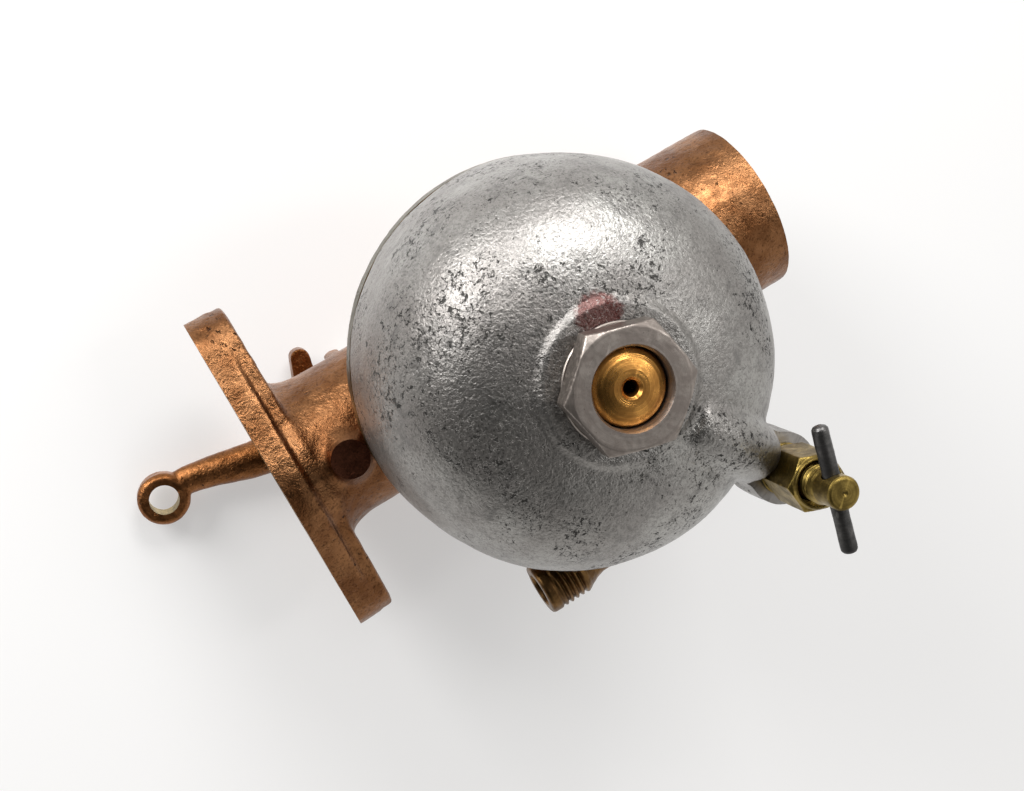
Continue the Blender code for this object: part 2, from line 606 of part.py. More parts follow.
def venturi():
    start, throat, end = BORE_STEP_X + GAP, 60.0, VENTURI_END_X
    inside = []
    steps = 4
    for index in range(steps):
        along = index / steps
        r = OUTLET_BORE_R + (VENTURI_THROAT_R - OUTLET_BORE_R) * math.sin(along * math.pi / 2)
        inside.append((r, start + (throat - start) * along))
    for index in range(steps + 1):
        along = index / steps
        r = VENTURI_THROAT_R + 5.6 * (1 - math.cos(along * math.pi / 2))
        inside.append((r, throat + (end - throat) * along))
    outer = HORN_BORE_R - GAP
    profile = [(outer, start), (outer, end), *inside[::-1]]
    piece = add("venturi", turning(profile, LARGE, closed=True), WHITE_METAL, turned_by=ALONG_X)
    cut(
        piece,
        add("cut_venturi_nozzle", rod(NOZZLE_R + 0.6, -20, -5, SMALL), at=(BOWL_X, 0, 0)),
        add("cut_venturi_needle", rod(NEEDLE_R + 0.8, 5, 20, SMALL), at=(BOWL_X, 0, 0)),
        add("cut_venturi_dimple", rod(1.2 + GAP, 14, 20, 12), at=(VENTURI_SCREW_X, 0, 0)),
    )
    head_z = 23 + GAP
    profile = [(0, 16.6), (1.2, 16.6), (1.2, 18.2), (1.6, 18.6), (1.6, head_z), (3.3, head_z)]
    profile += [(3.3, head_z + 1.3), (2.4, head_z + 2.1), (0, head_z + 2.2)]
    screw = add("venturi_screw", turning(profile, SMALL), STEEL, at=(VENTURI_SCREW_X, 0, 0))
    slot = block((-4, -0.4, head_z + 1.2), (4, 0.4, head_z + 4))
    cut(screw, add("cut_venturi_driver_slot", slot, at=(VENTURI_SCREW_X, 0, 0)))


def spring_mesh(radius, wire_r, turns, z0, z1, sides=6, steps=10):
    """An open coil with round wire, closed by a flat at each end."""
    bm = bmesh.new()
    count = turns * steps
    rings = []
    rise = (z1 - z0 - 2 * wire_r) / (2 * math.pi * turns)
    for index in range(count + 1):
        angle = 2 * math.pi * index / steps
        centre = Vector((radius * math.cos(angle), radius * math.sin(angle), z0 + wire_r + rise * angle))
        outward = Vector((math.cos(angle), math.sin(angle), 0))
        up = Vector((0, 0, 1))
        ring = []
        for side in range(sides):
            turn = 2 * math.pi * side / sides
            ring.append(bm.verts.new(centre + wire_r * (math.cos(turn) * outward + math.sin(turn) * up)))
        rings.append(ring)
    for first, second in zip(rings, rings[1:]):
        for side in range(sides):
            following = (side + 1) % sides
            bm.faces.new([first[side], first[following], second[following], second[side]])
    bm.faces.new(rings[0][::-1])
    bm.faces.new(rings[-1])
    return bm


def mixture_needle():
    at = (BOWL_X, 0, 0)
    axis = axis_empty("needle_axis", at)
    nut_low = NEEDLE_BOSS_TOP_Z + GAP
    nut = add("needle_packing_nut", prism(hexagon(14.0, 10), nut_low, PACKING_NUT_TOP_Z), BRASS, at=at)
    chamfered(nut, 14.0, nut_low, PACKING_NUT_TOP_Z, bottom=False, at=at)
    stem_hole_r = NEEDLE_R + GAP
    inside = [(0, 26), (5.3, 26), (5.3, 34.4), (stem_hole_r, 34.4), (stem_hole_r, 40), (0, 40)]
    cut(nut, add("cut_packing_nut", turning(inside), at=at))
    add("needle_packing", tube(4.9, NEEDLE_R + GAP, STUD_TOP_Z + GAP, 34.4 - GAP), GRAPHITE, at=at)
    spring = spring_mesh(SPRING_R, SPRING_WIRE_R, SPRING_TURNS, SPRING_BASE_Z, SPRING_TOP_Z)
    add("needle_spring", spring, STEEL, at=at)

    cup_low = SPRING_TOP_Z + GAP
    cup_high = cup_low + CUP_T
    cup = [(stem_hole_r, cup_low), (4.4, cup_low), (4.4, cup_low - 1.2), (5.1, cup_low - 1.2)]
    cup += [(5.1, cup_high), (stem_hole_r, cup_high)]
    add("spring_cup_washer", turning(cup, closed=True), BRASS, parent=axis)

    head_low = cup_high + GAP
    head_high = head_low + HEAD_T
    profile = [(0, -5), (0.35, -4.7), (1.0, -0.5), (NEEDLE_R, 8), (NEEDLE_R, head_low), (4.6, head_low)]
    profile += [(4.6, head_low + 1.0)]
    profile += [(HEAD_R - 0.6, head_low + 1.0), (HEAD_R, head_low + 1.6), (HEAD_R, head_high - 0.6)]
    profile += [(HEAD_R - 0.6, head_high), (0, head_high)]
    needle = add("mixture_needle", turning(profile, 24), BRASS, parent=axis)
    slot = block((-10, -0.6, head_high - 1.4), (10, 0.6, head_high + 1))
    cut(needle, add("cut_needle_slot", slot, parent=axis, turned_by=(0, 0, 35)))


# ---- fuel inlet, float and float valve ---------------------------------------------------------------


def swept_pipe(radius, path, facets=MEDIUM):
    """A solid pipe along a path of (point, direction) in the XY plane."""
    bm = bmesh.new()
    rings = []
    for point, direction in path:
        side = Vector((-direction.y, direction.x, 0))
        ring = []
        for x, z in circle(radius, facets=facets):
            ring.append(bm.verts.new(point + x * side + Vector((0, 0, z))))
        rings.append(ring)
    for first, second in zip(rings, rings[1:]):
        for index in range(facets):
            following = (index + 1) % facets
            bm.faces.new([first[index], first[following], second[following], second[index]])
    bm.faces.new(rings[0][::-1])
    bm.faces.new(rings[-1])
    return bm


def elbow_path(start_y, end_x, bend_r=5.0, steps=5):
    """Straight along +Y from start_y, a quarter bend, then along -X to end_x, about the elbow's corner."""
    path = [(Vector((0, start_y, 0)), Vector((0, 1, 0)))]
    for index in range(steps + 1):
        turn = math.pi / 2 * index / steps
        point = Vector((-bend_r + bend_r * math.cos(turn), -bend_r + bend_r * math.sin(turn), 0))
        path.append((point, Vector((-math.sin(turn), math.cos(turn), 0))))
    path.append((Vector((end_x, 0, 0)), Vector((-1, 0, 0))))
    return path


def fuel_inlet():
    corner = (INLET_X, INLET_Y, INLET_Z)
    boss_axis = dict(at=(INLET_X, 0, INLET_Z), turned_by=ALONG_Y)
    face_y = INLET_BOSS_END_Y + GAP
    add("inlet_washer", tube(6.0, ELBOW_R + GAP, face_y, face_y + INLET_WASHER_T, MEDIUM), FIBRE, **boss_axis)

    mouth = INLET_MOUTH_X - INLET_X
    thread_end = mouth + NIPPLE_THREAD_LENGTH
    collar_y = face_y + INLET_WASHER_T + GAP
    elbow = add("inlet_elbow", swept_pipe(ELBOW_R, elbow_path(37 - INLET_Y, mouth + 3)), BRONZE, at=corner)
    nipple = [(0, mouth), (5.6, mouth), (NIPPLE_R, mouth + 0.6), (NIPPLE_R, thread_end)]
    nipple += [(5.2, thread_end + 1.4), (ELBOW_R - 0.3, thread_end + 4), (0, thread_end + 4)]
    join(
        elbow,
        add("blank_elbow_collar", rod(5.8, collar_y, collar_y + 1.4), **boss_axis),
        add("blank_nipple", turning(nipple, start=4), at=corner, turned_by=ALONG_X),
    )
    bore = [(0, mouth - 1), (NIPPLE_BORE_R + 0.3, mouth - 1), (NIPPLE_BORE_R, mouth + 0.6)]
    bore += [(NIPPLE_BORE_R, mouth + 8), (1.6, mouth + 10), (0, mouth + 10)]
    cut(
        elbow,
        add("cut_elbow_bore", swept_pipe(2.2, elbow_path(36 - INLET_Y, mouth + 5), SMALL), at=corner),
        add("cut_nipple_bore", turning(bore, start=4), at=corner, turned_by=ALONG_X),
    )


def float_and_valve():
    seat_at = (INLET_X, SEAT_Y, 0)
    seat = add("needle_seat", prism(hexagon(SEAT_FLATS), -35, -33 - GAP), BRASS, at=seat_at)
    join(seat, add("blank_seat_shank", rod(3.9, -34, -25.8, 24), at=seat_at))
    bore = [(0, -40), (1.9, -40), (1.9, -28.5), (1.0, -28.5), (1.0, -20), (0, -20)]
    cut(seat, add("cut_seat_bore", turning(bore, 16), at=seat_at))

    lever = HINGE_Y - SEAT_Y
    valve_drop = lever * math.sin(math.radians(FLOAT_DROP))
    valve_axis = axis_empty("valve_axis", (INLET_X, SEAT_Y, -valve_drop))
    bottom = HINGE_Z + ARM_TOP + GAP
    profile = [(0, bottom), (1.2, bottom), (VALVE_STEM_R, bottom + 0.4), (VALVE_STEM_R, -29.9)]
    profile += [(0.6, -28.3), (0, -28.2)]
    add("float_needle", turning(profile, SMALL), STEEL, parent=valve_axis)

    pin_at = (INLET_X, HINGE_Y, HINGE_Z)
    add("float_hinge_pin", rod(1.0, -8.2, 8.2, SMALL), STEEL, at=pin_at, turned_by=ALONG_X)
    hinge = axis_empty("float_axis", pin_at, turned_by=(FLOAT_DROP, 0, 0))
    arm_low = ARM_TOP - ARM_T
    arm = add("float_arm", block((-4, -24, arm_low), (4, -1.7, ARM_TOP)), BRASS, parent=hinge)
    join(arm, add("blank_hinge_barrel", rod(2.2, -4.7, 4.7, SMALL), turned_by=ALONG_X, parent=hinge))
    screw_at = (BOWL_X - INLET_X, -18.5, 0)
    cut(
        arm,
        add("cut_hinge_barrel", rod(1.0 + GAP, -6, 6, SMALL), turned_by=ALONG_X, parent=hinge),
        add("cut_arm_screw", rod(1.2 + GAP, -6, 6, SMALL), at=screw_at, parent=hinge),
    )
    centre = (BOWL_X - INLET_X, -HINGE_Y, 0)
    top = FLOAT_TOP
    low = top - FLOAT_HEIGHT
    hole_r = FLOAT_HOLE_R
    ring = [(hole_r + 1, top), (hole_r, top - 1), (hole_r, low + 1.5), (hole_r + 1.5, low)]
    ring += [(FLOAT_R - 6, low), (FLOAT_R - 2, low + 2), (FLOAT_R, low + 5), (FLOAT_R, top - 1.5)]
    ring.append((FLOAT_R - 1.5, top))
    cork = add("cork_float", turning(ring, 30, closed=True), CORK, at=centre, parent=hinge)
    cut(cork, add("cut_float_screw", rod(1.2 + GAP, -12, 0, SMALL), at=screw_at, parent=hinge))
    head = ARM_TOP + GAP
    profile = [(0, -10), (0.6, -9.2), (1.2, -8.2), (1.2, head), (2.4, head), (2.4, head + 0.7)]
    profile += [(1.6, head + 1.3), (0, head + 1.4)]
    add("float_screw", turning(profile, SMALL), BRASS, at=screw_at, parent=hinge)


def build():
    for obj in list(bpy.data.objects):
        bpy.data.objects.remove(obj)
    body_casting()
    float_bowl()
    bowl_clamping_pieces()
    drain_cock()
    throttle()
    idle_stop()
    choke()
    venturi()
    mixture_needle()
    fuel_inlet()
    float_and_valve()


build()
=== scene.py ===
"""Looks of the side-draft carburettor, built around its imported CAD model.

Lengths are in millimetres here, in the frame of the CAD: +Z up with the float bowl hanging down, the
origin at the outlet bore in the gasket face, +X along the barrel to the air horn.
"""

import math

import bmesh
import bpy
import numpy as np
from mathutils import Euler, Matrix, Vector, noise

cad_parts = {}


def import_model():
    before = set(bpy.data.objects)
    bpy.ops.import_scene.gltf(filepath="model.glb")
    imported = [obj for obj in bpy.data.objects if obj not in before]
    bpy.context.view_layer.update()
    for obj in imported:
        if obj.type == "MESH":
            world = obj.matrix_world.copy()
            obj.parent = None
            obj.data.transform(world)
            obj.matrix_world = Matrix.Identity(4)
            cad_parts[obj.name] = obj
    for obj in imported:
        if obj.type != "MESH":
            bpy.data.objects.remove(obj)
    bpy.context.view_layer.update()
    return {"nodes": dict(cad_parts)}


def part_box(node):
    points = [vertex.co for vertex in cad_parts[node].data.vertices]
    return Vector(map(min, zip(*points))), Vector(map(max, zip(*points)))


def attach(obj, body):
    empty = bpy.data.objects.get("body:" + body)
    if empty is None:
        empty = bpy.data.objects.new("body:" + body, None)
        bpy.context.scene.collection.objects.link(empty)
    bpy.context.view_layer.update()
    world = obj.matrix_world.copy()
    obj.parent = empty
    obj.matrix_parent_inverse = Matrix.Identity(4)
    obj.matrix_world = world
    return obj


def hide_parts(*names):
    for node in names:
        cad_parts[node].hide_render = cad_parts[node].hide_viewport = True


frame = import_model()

MM = 0.001
SHARP_ANGLE = 32

BOWL_X = 64.2
THROTTLE_X = 16.2
CHOKE_X = 104.0
INLET = (62.0, 48.9, -24.0)
DRAIN = (93.0, 41.2, 0.0)
HORN_END_X = 131.3
JOINT_Z = -30.5
BOLT_Y = 30.15
LEVER_Z, LEVER_T = 24.2, 5.0
EYE = (-41.55, -3.4)
BOLT_HOLE_R = 4.4
HINGE_AT = (62, 35.5, -38)
VENTURI_SCREW_X = 76
VALVE_SEAT_Y = 29.5
FLOOR_Z = -82.6
BACKDROP_Z = 32.6

ALONG_X = (0, 90, 0)
ALONG_Y = (-90, 0, 0)


# ---- mesh builders ----------------------------------------------------------------------------------


def circle(radius, facets, centre=(0.0, 0.0)):
    turns = [2 * math.pi * index / facets for index in range(facets)]
    return [(centre[0] + radius * math.cos(a), centre[1] + radius * math.sin(a)) for a in turns]


def hexagon(across_flats, turn=0.0):
    corner = across_flats / math.sqrt(3)
    turns = [math.radians(turn + 60 * index) for index in range(6)]
    return [(corner * math.cos(a), corner * math.sin(a)) for a in turns]


def turn_of(a, b, c):
    return (b[0] - a[0]) * (c[1] - a[1]) - (b[1] - a[1]) * (c[0] - a[0])


def belt(circles, facets=96):
    """The outline of a belt stretched round circles, each given as (radius, centre)."""
    points = sorted({point for radius, centre in circles for point in circle(radius, facets, centre)})

    def half(ordered):
        chain = []
        for point in ordered:
            while len(chain) > 1 and turn_of(chain[-2], chain[-1], point) <= 0:
                chain.pop()
            chain.append(point)
        return chain[:-1]

    return half(points) + half(points[::-1])


def densify(profile, step):
    """Adds points so that no stretch of the (r, z) profile is longer than step."""
    dense = [profile[0]]
    for start, end in zip(profile, profile[1:]):
        count = max(1, math.ceil(math.dist(start, end) / step))
        for index in range(1, count + 1):
            along = index / count
            dense.append((start[0] + (end[0] - start[0]) * along, start[1] + (end[1] - start[1]) * along))
    return dense


def turning(profile, facets=96, closed=False, thread=None):
    """A bmesh turned about Z from (r, z) points. A closed profile makes a ring, an open one runs from
    the axis back to the axis. thread is (z0, z1, pitch, depth, least_r): a helical groove."""
    bm = bmesh.new()
    rings = []
    if thread:
        profile = densify(profile + [profile[0]] if closed else profile, thread[2] / 10)
        profile = profile[:-1] if closed else profile
    for r, z in profile:
        if r < 1e-6:
            rings.append([bm.verts.new((0, 0, z))] * facets)
            continue
        ring = []
        for index in range(facets):
            angle = 2 * math.pi * index / facets
            cut = 0.0
            if thread and thread[0] < z < thread[1] and r > thread[4]:
                phase = (z - thread[0]) / thread[2] - index / facets
                fade = min(1.0, (z - thread[0]) / thread[2], (thread[1] - z) / thread[2])
                cut = thread[3] * fade * (0.5 - 0.5 * math.cos(2 * math.pi * phase)) ** 1.3
            ring.append(bm.verts.new(((r - cut) * math.cos(angle), (r - cut) * math.sin(angle), z)))
        rings.append(ring)
    pairs = list(zip(rings, rings[1:]))
    if closed:
        pairs.append((rings[-1], rings[0]))
    for lower, upper in pairs:
        for index in range(facets):
            following = (index + 1) % facets
            corners = [lower[index], lower[following], upper[following], upper[index]]
            corners = list(dict.fromkeys(corners))
            if len(corners) > 2:
                bm.faces.new(corners)
    bmesh.ops.recalc_face_normals(bm, faces=bm.faces)
    return bm


def rod(radius, z0, z1, facets=64):
    return turning([(0, z0), (radius, z0), (radius, z1), (0, z1)], facets)


def tube(radius, hole, z0, z1, facets=128):
    return turning([(radius, z0), (radius, z1), (hole, z1), (hole, z0)], facets, closed=True)


def prism(outline, z0, z1):
    bm = bmesh.new()
    floor = [bm.verts.new((x, y, z0)) for x, y in outline]
    roof = [bm.verts.new((x, y, z1)) for x, y in outline]
    bm.faces.new(floor[::-1])
    bm.faces.new(roof)
    for index, corner in enumerate(floor):
        following = (index + 1) % len(floor)
        bm.faces.new([corner, floor[following], roof[following], roof[index]])
    bmesh.ops.recalc_face_normals(bm, faces=bm.faces)
    return bm


def block(low, high):
    corners = [(low[0], low[1]), (high[0], low[1]), (high[0], high[1]), (low[0], high[1])]
    return prism(corners, low[2], high[2])


def sweep(path, radii, facets=48, squash=1.0):
    """A pipe along points in space, with a radius for each; squash flattens it along Z."""
    bm = bmesh.new()
    rings = []
    for index, point in enumerate(path):
        before = path[max(index - 1, 0)]
        after = path[min(index + 1, len(path) - 1)]
        along = (after - before).normalized()
        side = along.cross(Vector((0, 0, 1))).normalized()
        up = side.cross(along)
        ring = []
        for x, y in circle(radii[index], facets):
            ring.append(bm.verts.new(point + x * side + y * squash * up))
        rings.append(ring)
    for first, second in zip(rings, rings[1:]):
        for index in range(facets):
            following = (index + 1) % facets
            bm.faces.new([first[index], first[following], second[following], second[index]])
    bm.faces.new(rings[0][::-1])
    bm.faces.new(rings[-1])
    bmesh.ops.recalc_face_normals(bm, faces=bm.faces)
    return bm


def put(bm, at=(0, 0, 0), turned_by=(0, 0, 0)):
    turn = Euler([math.radians(angle) for angle in turned_by]).to_matrix().to_4x4()
    bmesh.ops.transform(bm, matrix=Matrix.Translation(at) @ turn, verts=bm.verts)
    return bm


def merge(solids):
    whole = bmesh.new()
    for bm in solids:
        mesh = bpy.data.meshes.new("part")
        bm.to_mesh(mesh)
        bm.free()
        whole.from_mesh(mesh)
        bpy.data.meshes.remove(mesh)
    return whole


def mesh_object(name, bm, materials=()):
    bmesh.ops.scale(bm, vec=(MM, MM, MM), verts=bm.verts)
    mesh = bpy.data.meshes.new(name)
    bm.to_mesh(mesh)
    bm.free()
    obj = bpy.data.objects.new(name, mesh)
    bpy.context.scene.collection.objects.link(obj)
    for material in materials:
        mesh.materials.append(material)
    return obj


def apply_modifiers(obj):
    graph = bpy.context.evaluated_depsgraph_get()
    mesh = bpy.data.meshes.new_from_object(obj.evaluated_get(graph), depsgraph=graph)
    obj.modifiers.clear()
    old = obj.data
    obj.data = mesh
    bpy.data.meshes.remove(old)


def remeshed(obj, voxel, smoothing):
    """Turns overlapping closed solids into one skin with soft corners, as a casting has."""
    skin = obj.modifiers.new("skin", "REMESH")
    skin.mode = "VOXEL"
    skin.voxel_size = voxel * MM
    if smoothing:
        soften = obj.modifiers.new("soften", "SMOOTH")
        soften.factor = 0.5
        soften.iterations = smoothing
    materials = list(obj.data.materials)
    apply_modifiers(obj)
    if not obj.data.materials:
        for material in materials:
            obj.data.materials.append(material)


def soften_near(obj, capsules, iterations):
    """Smooths the skin near some lines in space, each given as (start, end, radius) in mm."""
    weights = np.zeros(len(obj.data.vertices))
    points = np.empty(len(weights) * 3)
    obj.data.vertices.foreach_get("co", points)
    points = points.reshape(-1, 3) / MM
    for start, end, radius in capsules:
        start = np.array(start, float)
        line = np.array(end, float) - start
        along = np.clip((points - start) @ line / (line @ line), 0, 1)
        away = np.linalg.norm(points - start - along[:, None] * line, axis=1)
        weights = np.maximum(weights, np.clip((radius - away) / (0.35 * radius), 0, 1))
    group = obj.vertex_groups.new(name="soften")
    for index in np.flatnonzero(weights):
        group.add([int(index)], float(weights[index]), "REPLACE")
    soften = obj.modifiers.new("soften", "SMOOTH")
    soften.factor = 0.5
    soften.iterations = iterations
    soften.vertex_group = group.name
    apply_modifiers(obj)
    obj.vertex_groups.clear()


def roughen(obj, octaves, seed):
    """Moves each vertex along its normal by noise; octaves are (wavelength, amplitude) in mm."""
    mesh = obj.data
    count = len(mesh.vertices)
    points = np.empty(count * 3)
    normals = np.empty(count * 3)
    mesh.vertices.foreach_get("co", points)
    mesh.vertex_normals.foreach_get("vector", normals)
    points = points.reshape(-1, 3)
    normals = normals.reshape(-1, 3)
    moved = np.zeros(count)
    offset = Vector((seed * 7.3, seed * 3.1, seed * 5.7))
    for wavelength, amplitude in octaves:
        scale = 1.0 / (wavelength * MM)
        moved += [amplitude * noise.noise(Vector(point) * scale + offset) for point in points]
    points += normals * (moved * MM)[:, None]
    mesh.vertices.foreach_set("co", points.ravel())
    mesh.update()


def boolean(obj, operation, solids, slot=1):
    """Adds or cuts solids. The faces that they leave take the material in the given slot."""
    for bm in solids:
        tool = mesh_object("tool", bm, obj.data.materials)
        tool.data.polygons.foreach_set("material_index", [slot] * len(tool.data.polygons))
        modifier = obj.modifiers.new("machining", "BOOLEAN")
        modifier.operation = operation
        modifier.solver = "MANIFOLD"
        modifier.object = tool
        apply_modifiers(obj)
        bpy.data.objects.remove(tool)


def keep_inside(obj, nodes):
    """Holds the piece within the boxes of the CAD nodes that it stands for."""
    boxes = [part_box(node) for node in nodes]
    low = np.min([box[0] for box in boxes], axis=0)
    high = np.max([box[1] for box in boxes], axis=0)
    points = np.empty(len(obj.data.vertices) * 3)
    obj.data.vertices.foreach_get("co", points)
    points = np.clip(points.reshape(-1, 3), low, high)
    obj.data.vertices.foreach_set("co", points.ravel())
    obj.data.update()


def place(obj, body, slot, *nodes):
    """Finishes a piece: its shading, its box, its body and the CAD nodes it replaces; its slot argument is
    not used.
    """
    keep_inside(obj, nodes)
    obj.data.shade_smooth()
    obj.data.set_sharp_from_angle(angle=math.radians(SHARP_ANGLE))
    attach(obj, body)
    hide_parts(*nodes)


# ---- materials ---------------------------------------------------------------------------------------


class Shader:
    """A small helper for building a node material in the object's own coordinates."""

    def __init__(self, name, metallic=1.0):
        self.material = bpy.data.materials.new(name)
        self.material.use_nodes = True
        self.tree = self.material.node_tree
        self.principled = self.tree.nodes["Principled BSDF"]
        self.principled.inputs["Metallic"].default_value = metallic
        self.place = self.node("ShaderNodeTexCoord").outputs["Object"]

    def node(self, kind, inputs=None, **settings):
        node = self.tree.nodes.new(kind)
        for key, value in settings.items():
            setattr(node, key, value)
        for key, value in (inputs or {}).items():
            self.feed(node.inputs[key], value)
        return node

    def feed(self, socket, value):
        if isinstance(value, bpy.types.NodeSocket):
            self.tree.links.new(value, socket)
        else:
            socket.default_value = value

    def maths(self, operation, a, b):
        return self.node("ShaderNodeMath", {0: a, 1: b}, operation=operation).outputs[0]

    def vector(self, operation, a, b=(0, 0, 0)):
        return self.node("ShaderNodeVectorMath", {0: a, 1: b}, operation=operation)

    def noise(self, size, detail=3.0, roughness=0.55, at=None, seed=0.0, distortion=0.0):
        """Noise from 0 to 1 whose features are about size mm across."""
        where = at or self.place
        inputs = {"Vector": where, "W": seed, "Scale": 1 / (size * MM), "Detail": detail}
        inputs |= {"Roughness": roughness, "Distortion": distortion}
        return self.node("ShaderNodeTexNoise", inputs, noise_dimensions="4D").outputs["Fac"]

    def cells(self, size):
        inputs = {"Vector": self.place, "Scale": 1 / (size * MM)}
        return self.node("ShaderNodeTexVoronoi", inputs).outputs["Distance"]

    def band(self, value, low, high, out_low=0.0, out_high=1.0):
        inputs = {"Value": value, "From Min": low, "From Max": high, "To Min": out_low, "To Max": out_high}
        return self.node("ShaderNodeMapRange", inputs, interpolation_type="SMOOTHSTEP").outputs[0]

    def mix(self, amount, first, second):
        node = self.node("ShaderNodeMix", data_type="RGBA")
        self.feed(node.inputs["Factor"], amount)
        for socket, value in ((node.inputs["A"], first), (node.inputs["B"], second)):
            self.feed(socket, value if isinstance(value, bpy.types.NodeSocket) else (*value, 1.0))
        return node.outputs["Result"]

    def pointiness(self):
        return self.node("ShaderNodeNewGeometry").outputs["Pointiness"]

    def about(self, centre, axis):
        """Coordinates (distance from an axis, place along it), for marks left by a lathe."""
        shifted = self.vector("SUBTRACT", self.place, Vector(centre) * MM).outputs[0]
        axis = Vector(axis).normalized()
        along = self.vector("DOT_PRODUCT", shifted, axis).outputs["Value"]
        foot = self.node("ShaderNodeVectorMath", {0: axis, "Scale": along}, operation="SCALE").outputs[0]
        radius = self.vector("LENGTH", self.vector("SUBTRACT", shifted, foot).outputs[0]).outputs["Value"]
        return self.node("ShaderNodeCombineXYZ", {"X": radius, "Y": along, "Z": 0.0}).outputs[0]

    def bump(self, height, distance, after=None):
        inputs = {"Height": height, "Distance": distance * MM, "Strength": 1.0}
        if after:
            inputs["Normal"] = after
        return self.node("ShaderNodeBump", inputs).outputs[0]

    def finish(self, colour, roughness, normal):
        self.feed(self.principled.inputs["Base Color"], colour)
        self.feed(self.principled.inputs["Roughness"], roughness)
        self.feed(self.principled.inputs["Normal"], normal)
        return self.material


def cast_metal(name, light, middle, dark, seed=1.0, grain=0.55, shine=0.34):
    """Sand-cast metal: sparkling grain, smoother worn patches, oxide and painted shade in hollows, small
    pits.
    """
    s = Shader(name)
    patches = s.noise(9.0, 4, 0.6, seed=seed)
    smooth_patch = s.band(s.noise(14.0, 2, 0.5, seed=seed + 3), 0.50, 0.66)
    grain_noise = s.noise(grain, 2.5, 0.65, seed=seed + 1)
    coarse = s.noise(grain * 3.4, 3, 0.6, seed=seed + 2)
    pits = s.band(s.noise(1.5, 3, 0.62, seed=seed + 5, distortion=0.6), 0.30, 0.39, 1.0, 0.0)
    pits = s.maths("MULTIPLY", pits, s.band(s.noise(11.0, 2, 0.5, seed=seed + 8), 0.42, 0.62))
    point = s.pointiness()
    worn = s.band(point, 0.515, 0.60)
    # Concave places mixed towards dark: partly oxide, partly painted shade in the crevices.
    hollow = s.band(point, 0.40, 0.485, 1.0, 0.0)

    colour = s.mix(s.band(patches, 0.36, 0.66), middle, light)
    colour = s.mix(s.band(grain_noise, 0.30, 0.52, 0.55, 0.0), colour, dark)
    colour = s.mix(s.maths("MULTIPLY", hollow, 0.85), colour, dark)
    colour = s.mix(s.maths("MULTIPLY", worn, 0.35), colour, [min(1.0, c * 1.15) for c in light])
    colour = s.mix(s.maths("MULTIPLY", pits, 0.8), colour, [c * 0.5 for c in dark])

    height = s.maths("ADD", s.maths("MULTIPLY", grain_noise, 0.6), s.maths("MULTIPLY", coarse, 0.8))
    height = s.maths("MULTIPLY", height, s.band(smooth_patch, 0.0, 1.0, 1.0, 0.35))
    height = s.maths("SUBTRACT", height, s.maths("MULTIPLY", pits, 0.9))
    normal = s.bump(height, 0.28)
    roughness = s.band(s.noise(2.2, 3, 0.6, seed=seed + 6), 0.3, 0.7, shine - 0.06, shine + 0.10)
    return s.finish(colour, roughness, normal)


def machined_metal(name, light, dark, centre, axis, shine=0.28, groove=0.35, depth=0.010, tarnish=0.6,
                   seed=1.0, worn=0.6):
    """Turned or milled metal: fine lathe lines about an axis, tarnish, scratches, corners that are bright
    by worn and painted shade in hollow corners. A face cut out of a fine mesh wants worn at 0: its long
    triangles would show."""
    s = Shader(name)
    about = s.about(centre, axis)
    lines = s.noise(groove, 3, 0.7, at=about, seed=seed)
    fine = s.noise(groove * 0.3, 2, 0.6, at=about, seed=seed + 1)
    stain = s.noise(3.4, 4, 0.62, seed=seed + 2, distortion=0.4)
    specks = s.band(s.noise(0.5, 2, 0.6, seed=seed + 3), 0.27, 0.34, 1.0, 0.0)
    point = s.pointiness()
    bright = [min(1.0, c * 1.3) for c in light]
    colour = s.mix(s.band(stain, 0.36, 0.68, tarnish, 0.0), light, dark)
    colour = s.mix(s.band(lines, 0.35, 0.62, 0.30, 0.0), colour, dark)
    # Painted shade: concave corners mixed towards dark, scaled by worn.
    colour = s.mix(s.maths("MULTIPLY", s.band(point, 0.42, 0.49, 1.0, 0.0), worn), colour, dark)
    colour = s.mix(s.maths("MULTIPLY", s.band(point, 0.52, 0.60), worn), colour, bright)
    colour = s.mix(s.maths("MULTIPLY", specks, 0.7), colour, [c * 0.35 for c in dark])
    height = s.maths("ADD", lines, s.maths("MULTIPLY", fine, 0.5))
    normal = s.bump(height, depth * 4)
    normal = s.bump(s.noise(1.6, 4, 0.6, seed=seed + 4), 0.05, after=normal)
    roughness = s.band(stain, 0.3, 0.7, shine + 0.16, shine)
    return s.finish(colour, roughness, normal)


